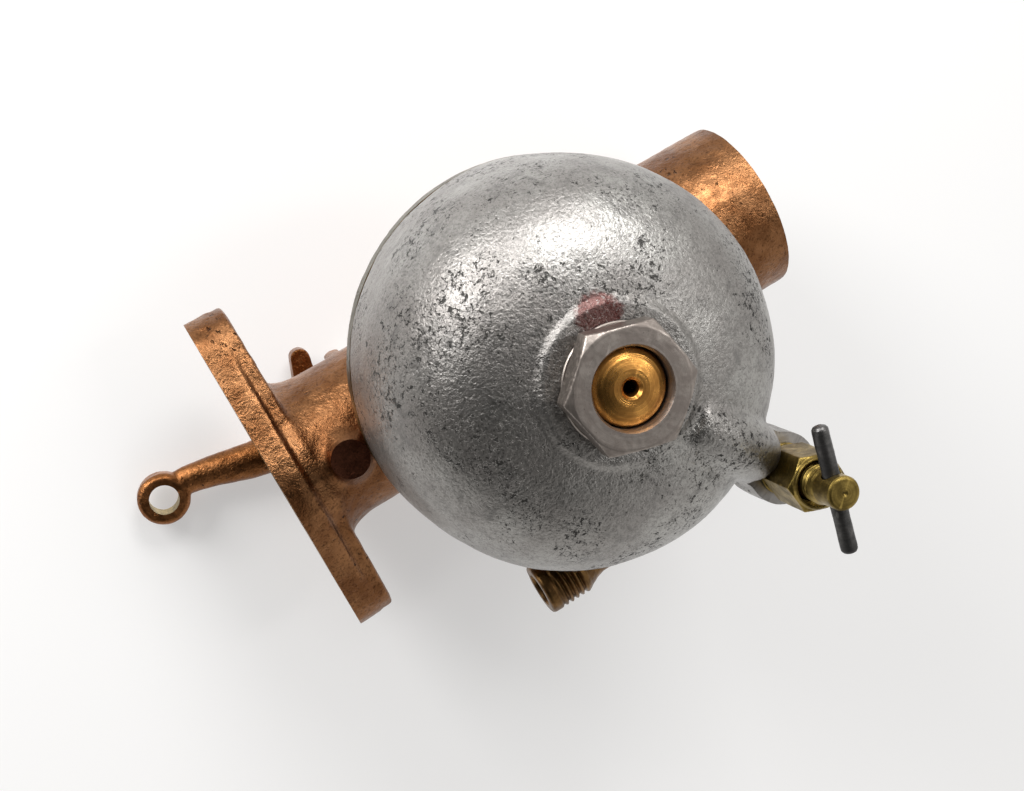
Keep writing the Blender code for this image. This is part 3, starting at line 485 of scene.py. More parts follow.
def bowl_material():
    """Blasted grey metal with a leathery grain, dark pits, specks and smudges, and a remnant of red paint
    on the pad beside the nut."""
    s = Shader("blasted_white_metal")
    fine = s.noise(0.30, 2, 0.6, seed=1.0)
    grain = s.noise(0.72, 3, 0.6, seed=2.0, distortion=0.3)
    clouds = s.noise(15.0, 4, 0.6, seed=3.0)
    broad = s.noise(34.0, 3, 0.55, seed=9.0)
    density = s.band(s.noise(13.0, 4, 0.62, seed=5.0), 0.38, 0.62)
    threshold = s.band(density, 0.0, 1.0, 0.36, 0.46)
    specks = s.noise(1.3, 4, 0.75, seed=4.0, distortion=0.6)
    marks = s.band(s.maths("SUBTRACT", threshold, specks), 0.0, 0.05)
    small_specks = s.noise(0.55, 3, 0.7, seed=6.0)
    pinholes = s.band(s.maths("SUBTRACT", s.band(density, 0.0, 1.0, 0.36, 0.44), small_specks), 0.0, 0.04)
    smudges = s.band(s.noise(4.5, 5, 0.68, seed=7.0, distortion=0.8), 0.30, 0.50, 1.0, 0.0)

    colour = s.mix(s.band(clouds, 0.36, 0.64), (0.32, 0.305, 0.29), (0.43, 0.42, 0.40))
    colour = s.mix(s.band(broad, 0.38, 0.60, 0.5, 0.0), colour, (0.24, 0.22, 0.205))
    colour = s.mix(s.maths("MULTIPLY", smudges, 0.6), colour, (0.14, 0.135, 0.13))
    colour = s.mix(s.band(grain, 0.36, 0.54, 0.45, 0.0), colour, (0.15, 0.145, 0.135))
    colour = s.mix(s.band(fine, 0.32, 0.55, 0.35, 0.0), colour, (0.14, 0.135, 0.13))
    colour = s.mix(s.maths("MULTIPLY", pinholes, 0.8), colour, (0.045, 0.043, 0.04))
    colour = s.mix(s.maths("MULTIPLY", marks, 0.9), colour, (0.035, 0.034, 0.032))

    height = s.maths("ADD", s.maths("MULTIPLY", fine, 0.22), s.maths("MULTIPLY", grain, 0.80))
    height = s.maths("SUBTRACT", height, s.maths("MULTIPLY", marks, 0.20))
    normal = s.bump(height, 0.26)
    roughness = s.band(clouds, 0.3, 0.7, 0.42, 0.32)
    roughness = s.maths("ADD", roughness, s.maths("MULTIPLY", marks, 0.2))

    away = s.vector("DISTANCE", s.place, Vector((66.6, -14.0, -75.4)) * MM).outputs["Value"]
    ragged = s.maths("MULTIPLY", s.noise(2.4, 4, 0.75, seed=11.0), 6.0 * MM)
    paint = s.band(s.maths("ADD", away, ragged), 6.4 * MM, 8.0 * MM, 1.0, 0.0)
    paint = s.maths("MULTIPLY", paint, s.band(s.noise(0.6, 3, 0.7, seed=12.0), 0.30, 0.46))
    colour = s.mix(s.maths("MULTIPLY", paint, 0.8), colour, (0.085, 0.020, 0.017))
    return s.finish(colour, roughness, normal)


def steel(name, light, dark, centre, seed, axis=(0, 0, 1)):
    return machined_metal(name, light, dark, centre, axis, shine=0.34, groove=0.5, depth=0.006, tarnish=0.7,
                          seed=seed)


def soft_material(name, light, dark, size, height):
    """Cork, fibre or packing: a mottled, matt surface."""
    s = Shader(name, metallic=0.0)
    mottle = s.noise(size, 4, 0.65, seed=1.0)
    spots = s.band(s.cells(size * 1.3), 0.12, 0.34, 1.0, 0.0)
    colour = s.mix(s.band(mottle, 0.35, 0.65), dark, light)
    colour = s.mix(s.maths("MULTIPLY", spots, 0.5), colour, [c * 0.4 for c in dark])
    normal = s.bump(s.maths("SUBTRACT", mottle, spots), height)
    return s.finish(colour, s.band(mottle, 0.3, 0.7, 0.88, 0.72), normal)


Z_AXIS, X_AXIS = (0, 0, 1), (1, 0, 0)
OVER_BOWL = (BOWL_X, 0, 0)

BRONZE_LIGHT, BRONZE_MIDDLE = (0.275, 0.130, 0.056), (0.165, 0.068, 0.026)
BRONZE_DARK = (0.026, 0.007, 0.003)
BRASS_LIGHT, BRASS_DARK = (0.38, 0.27, 0.075), (0.06, 0.04, 0.01)
GOLD_LIGHT, GOLD_DARK = (0.74, 0.37, 0.095), (0.12, 0.04, 0.008)
STEEL_LIGHT, STEEL_DARK = (0.36, 0.34, 0.31), (0.08, 0.075, 0.07)

CAST_BRONZE = cast_metal("cast_bronze", BRONZE_LIGHT, BRONZE_MIDDLE, BRONZE_DARK)
BARREL_TURNED = machined_metal("bronze_turned", (0.36, 0.22, 0.095), (0.10, 0.05, 0.018), (0, 0, 0),
                               X_AXIS, worn=0.0)
COVER_RIM = machined_metal("cover_rim", (0.085, 0.07, 0.022), (0.025, 0.018, 0.006), OVER_BOWL, Z_AXIS,
                           worn=0.0)
# Painted shade: a darker copy of the cast bronze, for the facet under the neck.
SHADED_BRONZE = cast_metal("shaded_bronze", (0.15, 0.055, 0.03), (0.07, 0.022, 0.014),
                           (0.015, 0.004, 0.004), seed=17.0)
LEVER_BRONZE = cast_metal("lever_bronze", (0.30, 0.125, 0.045), (0.17, 0.065, 0.02),
                          (0.035, 0.01, 0.004), seed=21.0)
ELBOW_BRONZE = machined_metal("elbow_bronze", (0.20, 0.11, 0.04), (0.035, 0.015, 0.006), INLET, X_AXIS,
                              seed=5.0)
BOWL_METAL = bowl_material()
BOWL_TURNED = machined_metal("white_metal_turned", (0.44, 0.42, 0.40), (0.16, 0.15, 0.14), OVER_BOWL,
                             Z_AXIS)
PLUG_BRASS = machined_metal("plug_brass", GOLD_LIGHT, GOLD_DARK, OVER_BOWL, Z_AXIS, shine=0.22,
                            groove=0.55, depth=0.016, tarnish=0.55, seed=7.0)
COCK_BRASS = machined_metal("cock_brass", BRASS_LIGHT, BRASS_DARK, DRAIN, Z_AXIS, shine=0.30,
                            tarnish=0.75, seed=9.0)
NUT_STEEL = steel("nut_steel", (0.40, 0.355, 0.32), (0.16, 0.135, 0.12), OVER_BOWL, 3.0)
DARK_STEEL = steel("dark_steel", (0.16, 0.155, 0.15), (0.03, 0.03, 0.03), (*DRAIN[:2], -78), 4.0,
                   axis=(-0.19, 0.98, 0))
GREY_STEEL = steel("grey_steel", STEEL_LIGHT, STEEL_DARK, (THROTTLE_X, 0, 0), 6.0)
CHOKE_STEEL = steel("choke_steel", STEEL_LIGHT, STEEL_DARK, (CHOKE_X, 0, 0), 8.0)
NEEDLE_BRASS = machined_metal("needle_brass", BRASS_LIGHT, BRASS_DARK, OVER_BOWL, Z_AXIS, seed=12.0)
PLATE_BRASS = machined_metal("plate_brass", BRASS_LIGHT, BRASS_DARK, (THROTTLE_X, 0, 0), (1, 0, 0.14),
                             seed=13.0)
VENTURI_METAL = machined_metal("venturi_metal", (0.50, 0.48, 0.46), (0.2, 0.19, 0.18), (0, 0, 0), X_AXIS,
                               seed=14.0)
CORK = soft_material("cork", (0.42, 0.25, 0.12), (0.20, 0.10, 0.045), 1.6, 0.25)
FIBRE = soft_material("fibre", (0.05, 0.042, 0.015), (0.015, 0.013, 0.005), 0.6, 0.05)
GRAPHITE = soft_material("graphite_packing", (0.08, 0.08, 0.08), (0.03, 0.03, 0.03), 0.4, 0.1)


# ---- body casting ------------------------------------------------------------------------------------


def flange_plate(middle_radius, end_radius, x0, x1):
    outline = belt([(end_radius, (0, -BOLT_Y)), (middle_radius, (0, 0)), (end_radius, (0, BOLT_Y))])
    return put(prism(outline, x0, x1), turned_by=ALONG_X)


def body_casting():
    barrel = [(0, -2), (20.5, -2), (20.5, 8.6), (19.4, 10.4), (18.5, 12.6), (18, 15.5), (18, 31)]
    barrel += [(18.8, 35), (20.3, 39.5), (21.15, 43), (21.15, HORN_END_X + 2), (0, HORN_END_X + 2)]
    inside = [(0, -35.7), (10.5, -35.7), (10.5, -23.2), (30, -23.2), (34, -27.2), (39, -27.6), (39, -32)]
    outside = [(44, -32), (44, -26.2), (42.6, -25.4), (38.5, -24.2), (35.2, -21.6), (31.5, -17.9)]
    outside += [(26.5, -14.8), (20, -12.5), (0, -12.5)]
    throttle_boss = [(0, -23), (4.0, -23), (4.8, -20.4), (7.2, -16.5), (7.2, 24), (0, 24)]
    needle_boss = [(0, 17), (8.2, 17), (8.2, 29), (0, 29)]
    lug_side = [(26, 10), (26, 29), (27.2, 31), (28.8, 31), (30, 29), (30, 10)]
    inlet_at = (INLET[0], 0, INLET[2])
    solids = [
        put(turning(barrel, 192), turned_by=ALONG_X),
        put(turning(inside + outside, 224), OVER_BOWL),
        flange_plate(22.6, 10.9, -2, 5.7),
        flange_plate(19.2, 10.5, 4.7, 9.2),
        put(turning(throttle_boss, 64), (THROTTLE_X, 0, 0)),
        put(rod(6.3, -23.4, 26), (CHOKE_X, 0, 0)),
        put(turning(needle_boss, 64), OVER_BOWL),
        put(rod(4.3, 17, 25), (VENTURI_SCREW_X, 0, 0)),
        put(rod(6.3, 24, 46), inlet_at, ALONG_Y),
        put(rod(6.8, -33.1, -21), (INLET[0], VALVE_SEAT_Y, 0)),
        put(block((-7.35, -2.7, -2.5), (-5.1, 2.7, 12)), HINGE_AT),
        put(block((5.1, -2.7, -2.5), (7.35, 2.7, 12)), HINGE_AT),
        put(prism([(x, -z) for x, z in lug_side[::-1]], -14, -5), turned_by=ALONG_Y),
    ]
    finishes = (CAST_BRONZE, BARREL_TURNED, SHADED_BRONZE, COVER_RIM)
    body = mesh_object("body_casting_skin", merge(solids), finishes)
    remeshed(body, 0.62, 7)
    flange_root = ((4, 0, 0), (17, 0, 0), 26.0)
    boss_root = ((THROTTLE_X, 0, -24), (THROTTLE_X, 0, -10), 12.0)
    soften_near(body, [flange_root, boss_root], 14)
    roughen(body, [(12.0, 0.12), (3.2, 0.10), (1.5, 0.07)], 1)

    bore = [(0, -9), (15.8, -9), (15.8, 0.0), (15, 0.8), (15, 44), (18, 44), (18, HORN_END_X - 2.4)]
    bore += [(18.4, HORN_END_X - 0.6), (18.6, HORN_END_X + 6), (0, HORN_END_X + 6)]
    pipe_hole = [(0, -40), (6.3, -40), (6.3, -17.2), (3.5, -17.2), (3.5, -10), (0, -10)]
    stop_line = (0, -9.5, LEVER_Z + LEVER_T / 2)
    boolean(body, "DIFFERENCE", [
        block((-20, -60, -60), (0, 60, 60)),
        block((HORN_END_X, -40, -40), (HORN_END_X + 20, 40, 40)),
        put(tube(60, 36.5, -34, JOINT_Z), OVER_BOWL),
        put(turning(bore, 160), turned_by=ALONG_X),
        put(rod(BOLT_HOLE_R, -9, 14), (0, -BOLT_Y, 0), ALONG_X),
        put(rod(BOLT_HOLE_R, -9, 14), (0, BOLT_Y, 0), ALONG_X),
        put(tube(9.4, 3.0, 21.6, 26), (THROTTLE_X, 0, 0)),
        put(rod(3.5, -18.6, 30), (THROTTLE_X, 0, 0)),
        put(tube(8.4, 2.0, 23.2, 29), (CHOKE_X, 0, 0)),
        put(rod(2.7, -30, 30), (CHOKE_X, 0, 0)),
        put(tube(12, 5.0, 27.0, 33), OVER_BOWL),
        put(rod(2.2, 5, 40), OVER_BOWL),
        put(tube(6, 1.0, 23, 27), (VENTURI_SCREW_X, 0, 0)),
        put(rod(1.9, 12, 30), (VENTURI_SCREW_X, 0, 0)),
        put(turning(pipe_hole, 96), OVER_BOWL),
        put(rod(4.2, -40, -22.4), (INLET[0], VALVE_SEAT_Y, 0)),
        put(block((50, 43.8, -34), (72, 50, -14))),
        put(rod(4.3, 36, 50), inlet_at, ALONG_Y),
        put(rod(2.2, 20, 35), stop_line, ALONG_X),
        put(rod(1.3, -10, 10), HINGE_AT, ALONG_X),
        put(rod(1.2, -40, 0), (BOWL_X + 16, -29, 0)),
    ])
    # The facet under the neck takes the shaded bronze: painted shade.
    facet_under_neck = put(rod(9, -26, -21.2), (THROTTLE_X, 0, 0))
    boolean(body, "DIFFERENCE", [facet_under_neck], slot=finishes.index(SHADED_BRONZE))
    rim = put(tube(60, 43.86, -34, -26.0), OVER_BOWL)
    boolean(body, "DIFFERENCE", [rim], slot=finishes.index(COVER_RIM))
    stud = [(0, 26), (5, 26), (5, 31.4), (4.5, 32), (0, 32)]
    boolean(body, "UNION", [put(turning(stud, 64, thread=(27, 32, 1.0, 0.4, 4.0)), OVER_BOWL)])
    boolean(body, "DIFFERENCE", [put(rod(2.2, 5, 40), OVER_BOWL)])
    place(body, "carburettor_body", "cast_bronze", "body_casting")


# ---- float bowl --------------------------------------------------------------------------------------


BOWL_R, BOWL_DEPTH, BOWL_ROUNDNESS = 44.0, 43.0, 3.15
BOWL_TOP_Z, PAD_Z = -32.0, -75.4


def superellipse(radius, depth, lowest_radius, steps):
    start = math.acos(min(1.0, (lowest_radius / radius) ** (BOWL_ROUNDNESS / 2)))
    points = []
    for index in range(steps + 1):
        angle = start * index / steps
        r = radius * math.cos(angle) ** (2 / BOWL_ROUNDNESS)
        points.append((r, depth * math.sin(angle) ** (2 / BOWL_ROUNDNESS)))
    return points


def drain_rib():
    """A round ridge that follows the bowl from the drain boss to the pad and sinks into it."""
    inward = (Vector((BOWL_X, 0)) - Vector(DRAIN[:2])).normalized()
    surface = superellipse(BOWL_R, BOWL_DEPTH, 18, 40)
    path, radii = [Vector((*DRAIN[:2], -47.5))], [7.6]
    for index in range(14, 40, 2):
        along = (index - 14) / 25
        (r0, d0), (r1, d1) = surface[index], surface[index + 1]
        slope = Vector((r1 - r0, d0 - d1)).normalized()
        outward = Vector((-slope.y, slope.x))
        radius = 6.4 + 1.0 * along
        proud = 1.1 + 4.9 * (1 - along) ** 0.75
        middle = Vector((r0, -d0)) - outward * (radius - proud)
        path.append(Vector((BOWL_X - inward.x * middle.x, -inward.y * middle.x, BOWL_TOP_Z + middle.y)))
        radii.append(radius)
    return sweep(path, radii)


def float_bowl():
    outside = [(r, BOWL_TOP_Z - drop) for r, drop in superellipse(BOWL_R, BOWL_DEPTH, 16.8, 56)]
    pad = [(16.4, PAD_Z + 0.5), (16.0, PAD_Z + 0.1), (15.5, PAD_Z), (0, PAD_Z)]
    skin = [(0, -30), (BOWL_R, -30), *outside, *pad]
    inward = math.degrees(math.atan2(-DRAIN[1], BOWL_X - DRAIN[0]))
    boss = [(0, -57.5), (7.9, -57.5), (8, -55.2), (8, -44), (7, -40), (4.5, -37.6), (0, -36.8)]
    bowl = mesh_object("float_bowl_skin", merge([
        put(turning(skin, 256), OVER_BOWL),
        put(turning(boss, 96), DRAIN),
        drain_rib(),
    ]), (BOWL_METAL, BOWL_TURNED))
    remeshed(bowl, 0.55, 5)
    soften_near(bowl, [((*DRAIN[:2], -46), (84, 28, -66), 15.0)], 8)
    roughen(bowl, [(14.0, 0.20), (4.0, 0.07), (1.6, 0.04)], 2)
    inner = superellipse(BOWL_R - 3, BOWL_DEPTH - 3.5, 6.0, 32)
    hollow = [(r, BOWL_TOP_Z - drop) for r, drop in inner]
    passage = put(rod(2.0, 0, 22), turned_by=(0, 108, 0))
    boolean(bowl, "DIFFERENCE", [
        put(rod(60, -31.9, -20), OVER_BOWL),
        put(turning([(0, -10), (41, -10), *hollow, (0, hollow[-1][1])], 192), OVER_BOWL),
        put(rod(7.95, -90, -60), OVER_BOWL),
        put(rod(9, -62, -56), DRAIN),
        put(rod(4.8, -60, -47.5), DRAIN),
        put(passage, (DRAIN[0], DRAIN[1], -49.6), (0, 0, inward)),
    ])
    place(bowl, "carburettor_body", "white_metal", "float_bowl")


# ---- bowl nut, washer, gasket, standpipe -------------------------------------------------------------


def chamfered_hexagon(across_flats, turn, z0, z1, low=True, high=True):
    """A hexagon prism whose corners are turned to a cone at the low end, the high end or both."""
    face = across_flats / 2
    reach = face * 1.2
    drop = (reach - face) * math.tan(math.radians(30))
    profile = [(0, z0), (face, z0), (reach, z0 + drop)] if low else [(0, z0 - 1), (reach, z0 - 1)]
    profile += [(reach, z1 - drop), (face, z1), (0, z1)] if high else [(reach, z1 + 1), (0, z1 + 1)]
    piece = mesh_object("hexagon", prism(hexagon(across_flats, turn), z0, z1))
    envelope = mesh_object("envelope", turning(profile, 120))
    modifier = piece.modifiers.new("chamfer", "BOOLEAN")
    modifier.operation = "INTERSECT"
    modifier.solver = "MANIFOLD"
    modifier.object = envelope
    apply_modifiers(piece)
    bpy.data.objects.remove(envelope)
    bm = bmesh.new()
    bm.from_mesh(piece.data)
    bmesh.ops.scale(bm, vec=(1 / MM, 1 / MM, 1 / MM), verts=bm.verts)
    bpy.data.objects.remove(piece)
    return bm


def bowl_nut_and_washer():
    washer = [(12.2, -76.3), (12.2, -75.9), (12.0, -75.7), (8.2, -75.7), (7.95, -75.9), (7.95, -76.3)]
    washer += [(8.1, -76.5), (12.0, -76.5)]
    washer = put(turning(washer, 128, closed=True), OVER_BOWL)
    washer = mesh_object("bowl_nut_washer_turned", washer, (NUT_STEEL,))
    place(washer, "carburettor_body", "grey_steel", "bowl_nut_washer")

    nut = put(chamfered_hexagon(23.7, 16, -82.25, -76.8, high=False), OVER_BOWL)
    nut = mesh_object("bowl_nut_worn", nut, (NUT_STEEL, NUT_STEEL))
    remeshed(nut, 0.22, 3)
    roughen(nut, [(4.0, 0.06), (1.2, 0.03)], 3)
    thread = turning([(0, -84), (9.4, -84), (7.95, -81.45), (7.95, -70), (0, -70)], 128)
    boolean(nut, "DIFFERENCE", [put(thread, OVER_BOWL)])
    place(nut, "carburettor_body", "grey_steel", "bowl_nut")


def bowl_gasket():
    gasket = [(43.7, -31.5), (43.75, -31.1), (43.6, -30.8), (39.4, -30.8), (39.4, -31.6), (43.6, -31.6)]
    gasket = put(turning(densify(gasket, 0.4), 256, closed=True), OVER_BOWL)
    gasket = mesh_object("bowl_gasket_edge", gasket, (FIBRE,))
    roughen(gasket, [(3.0, 0.10), (0.8, 0.06)], 4)
    place(gasket, "carburettor_body", "fibre", "bowl_gasket")


def standpipe():
    end = -81.6
    profile = [(1.45, end + 1.3), (1.6, end + 0.75), (2.2, end + 0.15), (2.45, end + 0.06)]
    profile += [(3.2, end + 0.08), (4.4, end + 0.28), (5.6, end + 0.62), (6.6, end + 1.05)]
    profile += [(7.2, end + 1.5), (7.6, end + 2.1), (7.6, -36), (6, -36), (6, -18.6), (3.2, -18.1)]
    profile += [(3.2, -3.5), (2.2, -2.5), (1.3, -2.5), (1.3, -30), (3.5, -34), (3.5, -70), (1.45, -72)]
    pipe = turning(profile, 128, closed=True, thread=(-79.2, -62, 1.3, 0.45, 7.0))
    pipe = mesh_object("standpipe_turned", put(pipe, OVER_BOWL), (PLUG_BRASS, PLUG_BRASS))
    boolean(pipe, "DIFFERENCE", [put(rod(1.2, -9, 9), (BOWL_X, 0, -68), ALONG_X)])
    place(pipe, "carburettor_body", "turned_brass", "standpipe")


# ---- drain cock --------------------------------------------------------------------------------------


def drain_cock():
    neck = [(0, -49), (4.5, -49), (4.5, -56.3), (5.75, -56.3), (5.75, -59.4), (0, -59.4)]
    solids = [
        chamfered_hexagon(11.6, 20, -71.2, -59.0),
        turning(neck[::-1], 96, thread=(-59.2, -56.3, 1.2, 0.75, 5.0)),
        turning([(0, -62), (5.6, -62), (5.6, -71.4), (5.35, -72), (0, -72)], 96),
    ]
    body = mesh_object("drain_cock_body_worn", put(merge(solids), DRAIN), (COCK_BRASS, COCK_BRASS))
    remeshed(body, 0.16, 2)
    roughen(body, [(3.0, 0.05), (0.9, 0.02)], 5)
    bore = [(0, -80), (5.0, -80), (5.0, -69.2), (4.3, -69.2), (4.3, -61), (2.9, -60), (2.9, -58.6)]
    bore += [(1.5, -56.8), (1.5, -40), (0, -40)]
    boolean(body, "DIFFERENCE", [put(turning(bore, 96), DRAIN)])
    place(body, "carburettor_body", "turned_brass", "drain_cock_body")

    stem = [(0, -60.7), (3.4, -60.7), (4, -61.5), (4, -74.2), (3.55, -75.4), (3.55, -81.4), (3.35, -81.8)]
    stem += [(3.0, -82), (0.7, -82), (0.5, -81.9), (0, -81.6)]
    stem = turning(stem[::-1], 96, thread=(-74.6, -61.8, 1.1, 0.45, 3.7))
    stem = mesh_object("drain_stem_turned", put(stem, DRAIN), (COCK_BRASS, COCK_BRASS))
    across = ((DRAIN[0], DRAIN[1], -78), (0, 90, 101))
    boolean(stem, "DIFFERENCE", [put(rod(2.0, -9, 9), *across)])
    place(stem, "drain_handle", "turned_brass", "drain_stem")

    half = 13.85
    bar = [(0, -half), (0.8, -half + 0.05), (1.35, -half + 0.3), (1.7, -half + 0.8), (1.75, -half + 1.6)]
    bar = bar + [(r, -z) for r, z in bar[::-1]]
    bar = mesh_object("drain_t_bar_worn", put(turning(densify(bar, 0.35), 64), *across), (DARK_STEEL,))
    roughen(bar, [(2.5, 0.06), (0.8, 0.03)], 6)
    place(bar, "drain_handle", "dark_steel", "drain_t_bar")


# ---- throttle lever, inlet elbow, mixture needle -----------------------------------------------------


def throttle_lever():
    eye = Vector((*EYE, 0))
    middle = LEVER_Z + LEVER_T / 2
    path, radii = [], []
    for index in range(25):
        along = index / 24
        bow = 1.5 * math.sin(math.pi * along * 1.7)
        path.append(Vector((eye.x * along, eye.y * along + bow, middle)))
        radii.append(6.0 - 2.6 * min(1.0, along * 1.15) ** 0.9)
    eye_profile = [(0, 23.8), (5.5, 23.8), (6.45, 24.8), (6.45, 28.6), (5.5, 29.6), (0, 29.6)]
    stop_arm = belt([(4.5, (0, 0)), (2.4, (4.3, -17.0))])
    hub = [(0, 21.9), (7.0, 21.9), (7.6, 22.5), (7.6, 31), (6.8, 31.8), (0, 31.8)]
    at = (THROTTLE_X, 0, 0)
    lever = mesh_object("throttle_lever_skin", merge([
        put(sweep(path[:-2], radii[:-2], squash=0.8), at),
        put(turning(eye_profile, 96), (THROTTLE_X + eye.x, eye.y, 0)),
        put(prism(stop_arm, LEVER_Z + 0.1, LEVER_Z + LEVER_T - 0.1), at),
        put(turning(hub, 96), at),
    ]), (LEVER_BRONZE, COCK_BRASS))
    remeshed(lever, 0.32, 6)
    roughen(lever, [(5.0, 0.14), (1.6, 0.08)], 7)
    boolean(lever, "DIFFERENCE", [
        put(rod(3.65, 10, 40), (THROTTLE_X + eye.x, eye.y, 0)),
        put(rod(3.5, 10, 40), at),
        put(rod(10, 10, 21.9), at),
        put(rod(1.5, -12, 12), (THROTTLE_X, 0, LEVER_Z + LEVER_T + 0.2), (0, 90, 96)),
    ])
    place(lever, "throttle", "cast_bronze", "throttle_lever")


def inlet_elbow():
    corner = Vector(INLET)
    path = [Vector((62, 37, -24)), Vector((62, 43.9, -24))]
    bend = 5.0
    for index in range(1, 13):
        turn = math.pi / 2 * index / 12
        path.append(corner + Vector((-bend + bend * math.cos(turn), -bend + bend * math.sin(turn), 0)))
    path.append(Vector((45, corner.y, -24)))
    mouth, thread_end = 38.6 - 62, 48.6 - 62
    nipple = [(0, mouth), (5.5, mouth), (6.0, mouth + 0.25), (6.2, mouth + 0.7), (6.2, thread_end)]
    nipple += [(5.4, thread_end + 1.2), (4.6, thread_end + 3), (4.0, thread_end + 5), (0, thread_end + 5)]
    elbow = mesh_object("inlet_elbow_skin", merge([
        sweep(path, [4.0] * len(path), facets=64),
        put(rod(5.8, 44.9, 46.3), (62, 0, -24), ALONG_Y),
        put(turning(nipple, 128, thread=(mouth + 2.2, thread_end + 0.4, 1.45, 0.85, 5.9)), INLET, ALONG_X),
    ]), (ELBOW_BRONZE, ELBOW_BRONZE))
    remeshed(elbow, 0.18, 2)
    roughen(elbow, [(4.0, 0.08), (1.1, 0.04)], 8)
    bore = [(0, mouth - 3), (4.2, mouth - 3), (4.1, mouth), (3.7, mouth + 0.6), (3.7, mouth + 8)]
    bore += [(1.6, mouth + 10), (0, mouth + 10)]
    boolean(elbow, "DIFFERENCE", [
        put(turning(bore, 96), INLET, ALONG_X),
        sweep([Vector((62, 30, -24))] + path[1:], [2.2] * len(path), facets=32),
    ])
    place(elbow, "carburettor_body", "cast_bronze", "inlet_elbow")


def mixture_needle():
    nut = chamfered_hexagon(14.0, 10, 27.3, 36.0, low=False)
    nut = mesh_object("needle_packing_nut_worn", put(nut, OVER_BOWL), (NEEDLE_BRASS, NEEDLE_BRASS))
    remeshed(nut, 0.2, 2)
    inside = [(0, 26), (5.3, 26), (5.3, 34.4), (2.2, 34.4), (2.2, 40), (0, 40)]
    boolean(nut, "DIFFERENCE", [put(turning(inside, 64), OVER_BOWL)])
    place(nut, "carburettor_body", "turned_brass", "needle_packing_nut")

    head_low, head_high = 45.8, 51.8
    knurls, steps = 48, 6
    outline = []
    for index in range(knurls * steps):
        angle = 2 * math.pi * index / (knurls * steps)
        r = 7.4 - 0.28 * abs(math.sin(math.pi * index / steps))
        outline.append((r * math.cos(angle), r * math.sin(angle)))
    knurled = prism(outline, head_low + 1.9, head_high - 0.9)
    stem = [(0, -5), (0.35, -4.7), (1.0, -0.5), (1.9, 8), (1.9, head_low), (4.6, head_low)]
    stem += [(4.6, head_low + 1), (6.6, head_low + 1), (7.0, head_low + 1.4), (7.0, head_high - 0.5)]
    stem += [(6.6, head_high), (0, head_high)]
    stem = put(turning(stem, 96), OVER_BOWL)
    needle = mesh_object("mixture_needle_turned", stem, (NEEDLE_BRASS, NEEDLE_BRASS))
    boolean(needle, "UNION", [put(knurled, OVER_BOWL)])
    slot = block((-10, -0.6, head_high - 1.4), (10, 0.6, head_high + 1))
    boolean(needle, "DIFFERENCE", [put(slot, OVER_BOWL, (0, 0, 35))])
    place(needle, "needle", "turned_brass", "mixture_needle")

    radius, wire, turns, z0, z1 = 3.7, 0.45, 6, 36.3, 43.6
    steps = 40
    path = []
    for index in range(turns * steps + 1):
        angle = 2 * math.pi * index / steps
        z = z0 + wire + (z1 - z0 - 2 * wire) * index / (turns * steps)
        path.append(Vector((BOWL_X + radius * math.cos(angle), radius * math.sin(angle), z)))
    spring = mesh_object("needle_spring_coil", sweep(path, [wire] * len(path), facets=12), (GREY_STEEL,))
    place(spring, "carburettor_body", "grey_steel", "needle_spring")


CARRIED_OVER = {
    GREY_STEEL: ("throttle_shaft", "throttle_lever_pin", "idle_stop_screw", "idle_lock_nut", "float_needle",
                 "float_hinge_pin"),
    CHOKE_STEEL: ("choke_shaft", "choke_lever_pin", "venturi_screw"),
    PLATE_BRASS: ("throttle_plate", "throttle_plate_screw_1", "throttle_plate_screw_2", "choke_plate",
                  "choke_plate_screw_1", "choke_plate_screw_2"),
    LEVER_BRONZE: ("choke_lever",),
    VENTURI_METAL: ("venturi",),
    NEEDLE_BRASS: ("spring_cup_washer", "needle_seat", "float_arm", "float_screw"),
    COCK_BRASS: ("drain_valve_tip",),
    CORK: ("cork_float",),
    FIBRE: ("inlet_washer",),
    GRAPHITE: ("needle_packing",),
}


def carried_over():
    for material, nodes in CARRIED_OVER.items():
        for node in nodes:
            for slot in frame["nodes"][node].material_slots:
                slot.material = material


# ---- stage, light and camera -------------------------------------------------------------------------

CAMERA_AT = Vector((-1.4, -78.8, -322.6)) * MM
CAMERA_RIGHT = Vector((0.84537, 0.45173, -0.28511))
CAMERA_UP = Vector((0.50416, -0.85112, 0.14633))
CAMERA_BACK = Vector((-0.17656, -0.26745, -0.94726))
OBJECT_CENTRE = Vector((50, 0, -15)) * MM


def pale_surface(name, colour, glow, fades_along):
    """A plain matt surface that isn't there for whatever looks at its back, or along it if it fades."""
    material = bpy.data.materials.new(name)
    material.use_nodes = True
    tree = material.node_tree
    principled = tree.nodes["Principled BSDF"]
    principled.inputs["Base Color"].default_value = (*colour, 1.0)
    principled.inputs["Roughness"].default_value = 0.9
    principled.inputs["Specular IOR Level"].default_value = 0.1
    principled.inputs["Emission Color"].default_value = (1.0, 1.0, 1.0, 1.0)
    principled.inputs["Emission Strength"].default_value = glow
    unseen = tree.nodes.new("ShaderNodeNewGeometry").outputs["Backfacing"]
    if fades_along:
        slant = tree.nodes.new("ShaderNodeLayerWeight")
        fade = tree.nodes.new("ShaderNodeMapRange")
        fade.inputs["From Min"].default_value = 0.55
        fade.inputs["From Max"].default_value = 0.80
        either = tree.nodes.new("ShaderNodeMath")
        either.operation = "MAXIMUM"
        tree.links.new(slant.outputs["Facing"], fade.inputs["Value"])
        tree.links.new(unseen, either.inputs[0])
        tree.links.new(fade.outputs["Result"], either.inputs[1])
        unseen = either.outputs[0]
    clear = tree.nodes.new("ShaderNodeBsdfTransparent")
    choice = tree.nodes.new("ShaderNodeMixShader")
    tree.links.new(unseen, choice.inputs["Fac"])
    tree.links.new(principled.outputs[0], choice.inputs[1])
    tree.links.new(clear.outputs[0], choice.inputs[2])
    tree.links.new(choice.outputs[0], tree.nodes["Material Output"].inputs["Surface"])
    return material


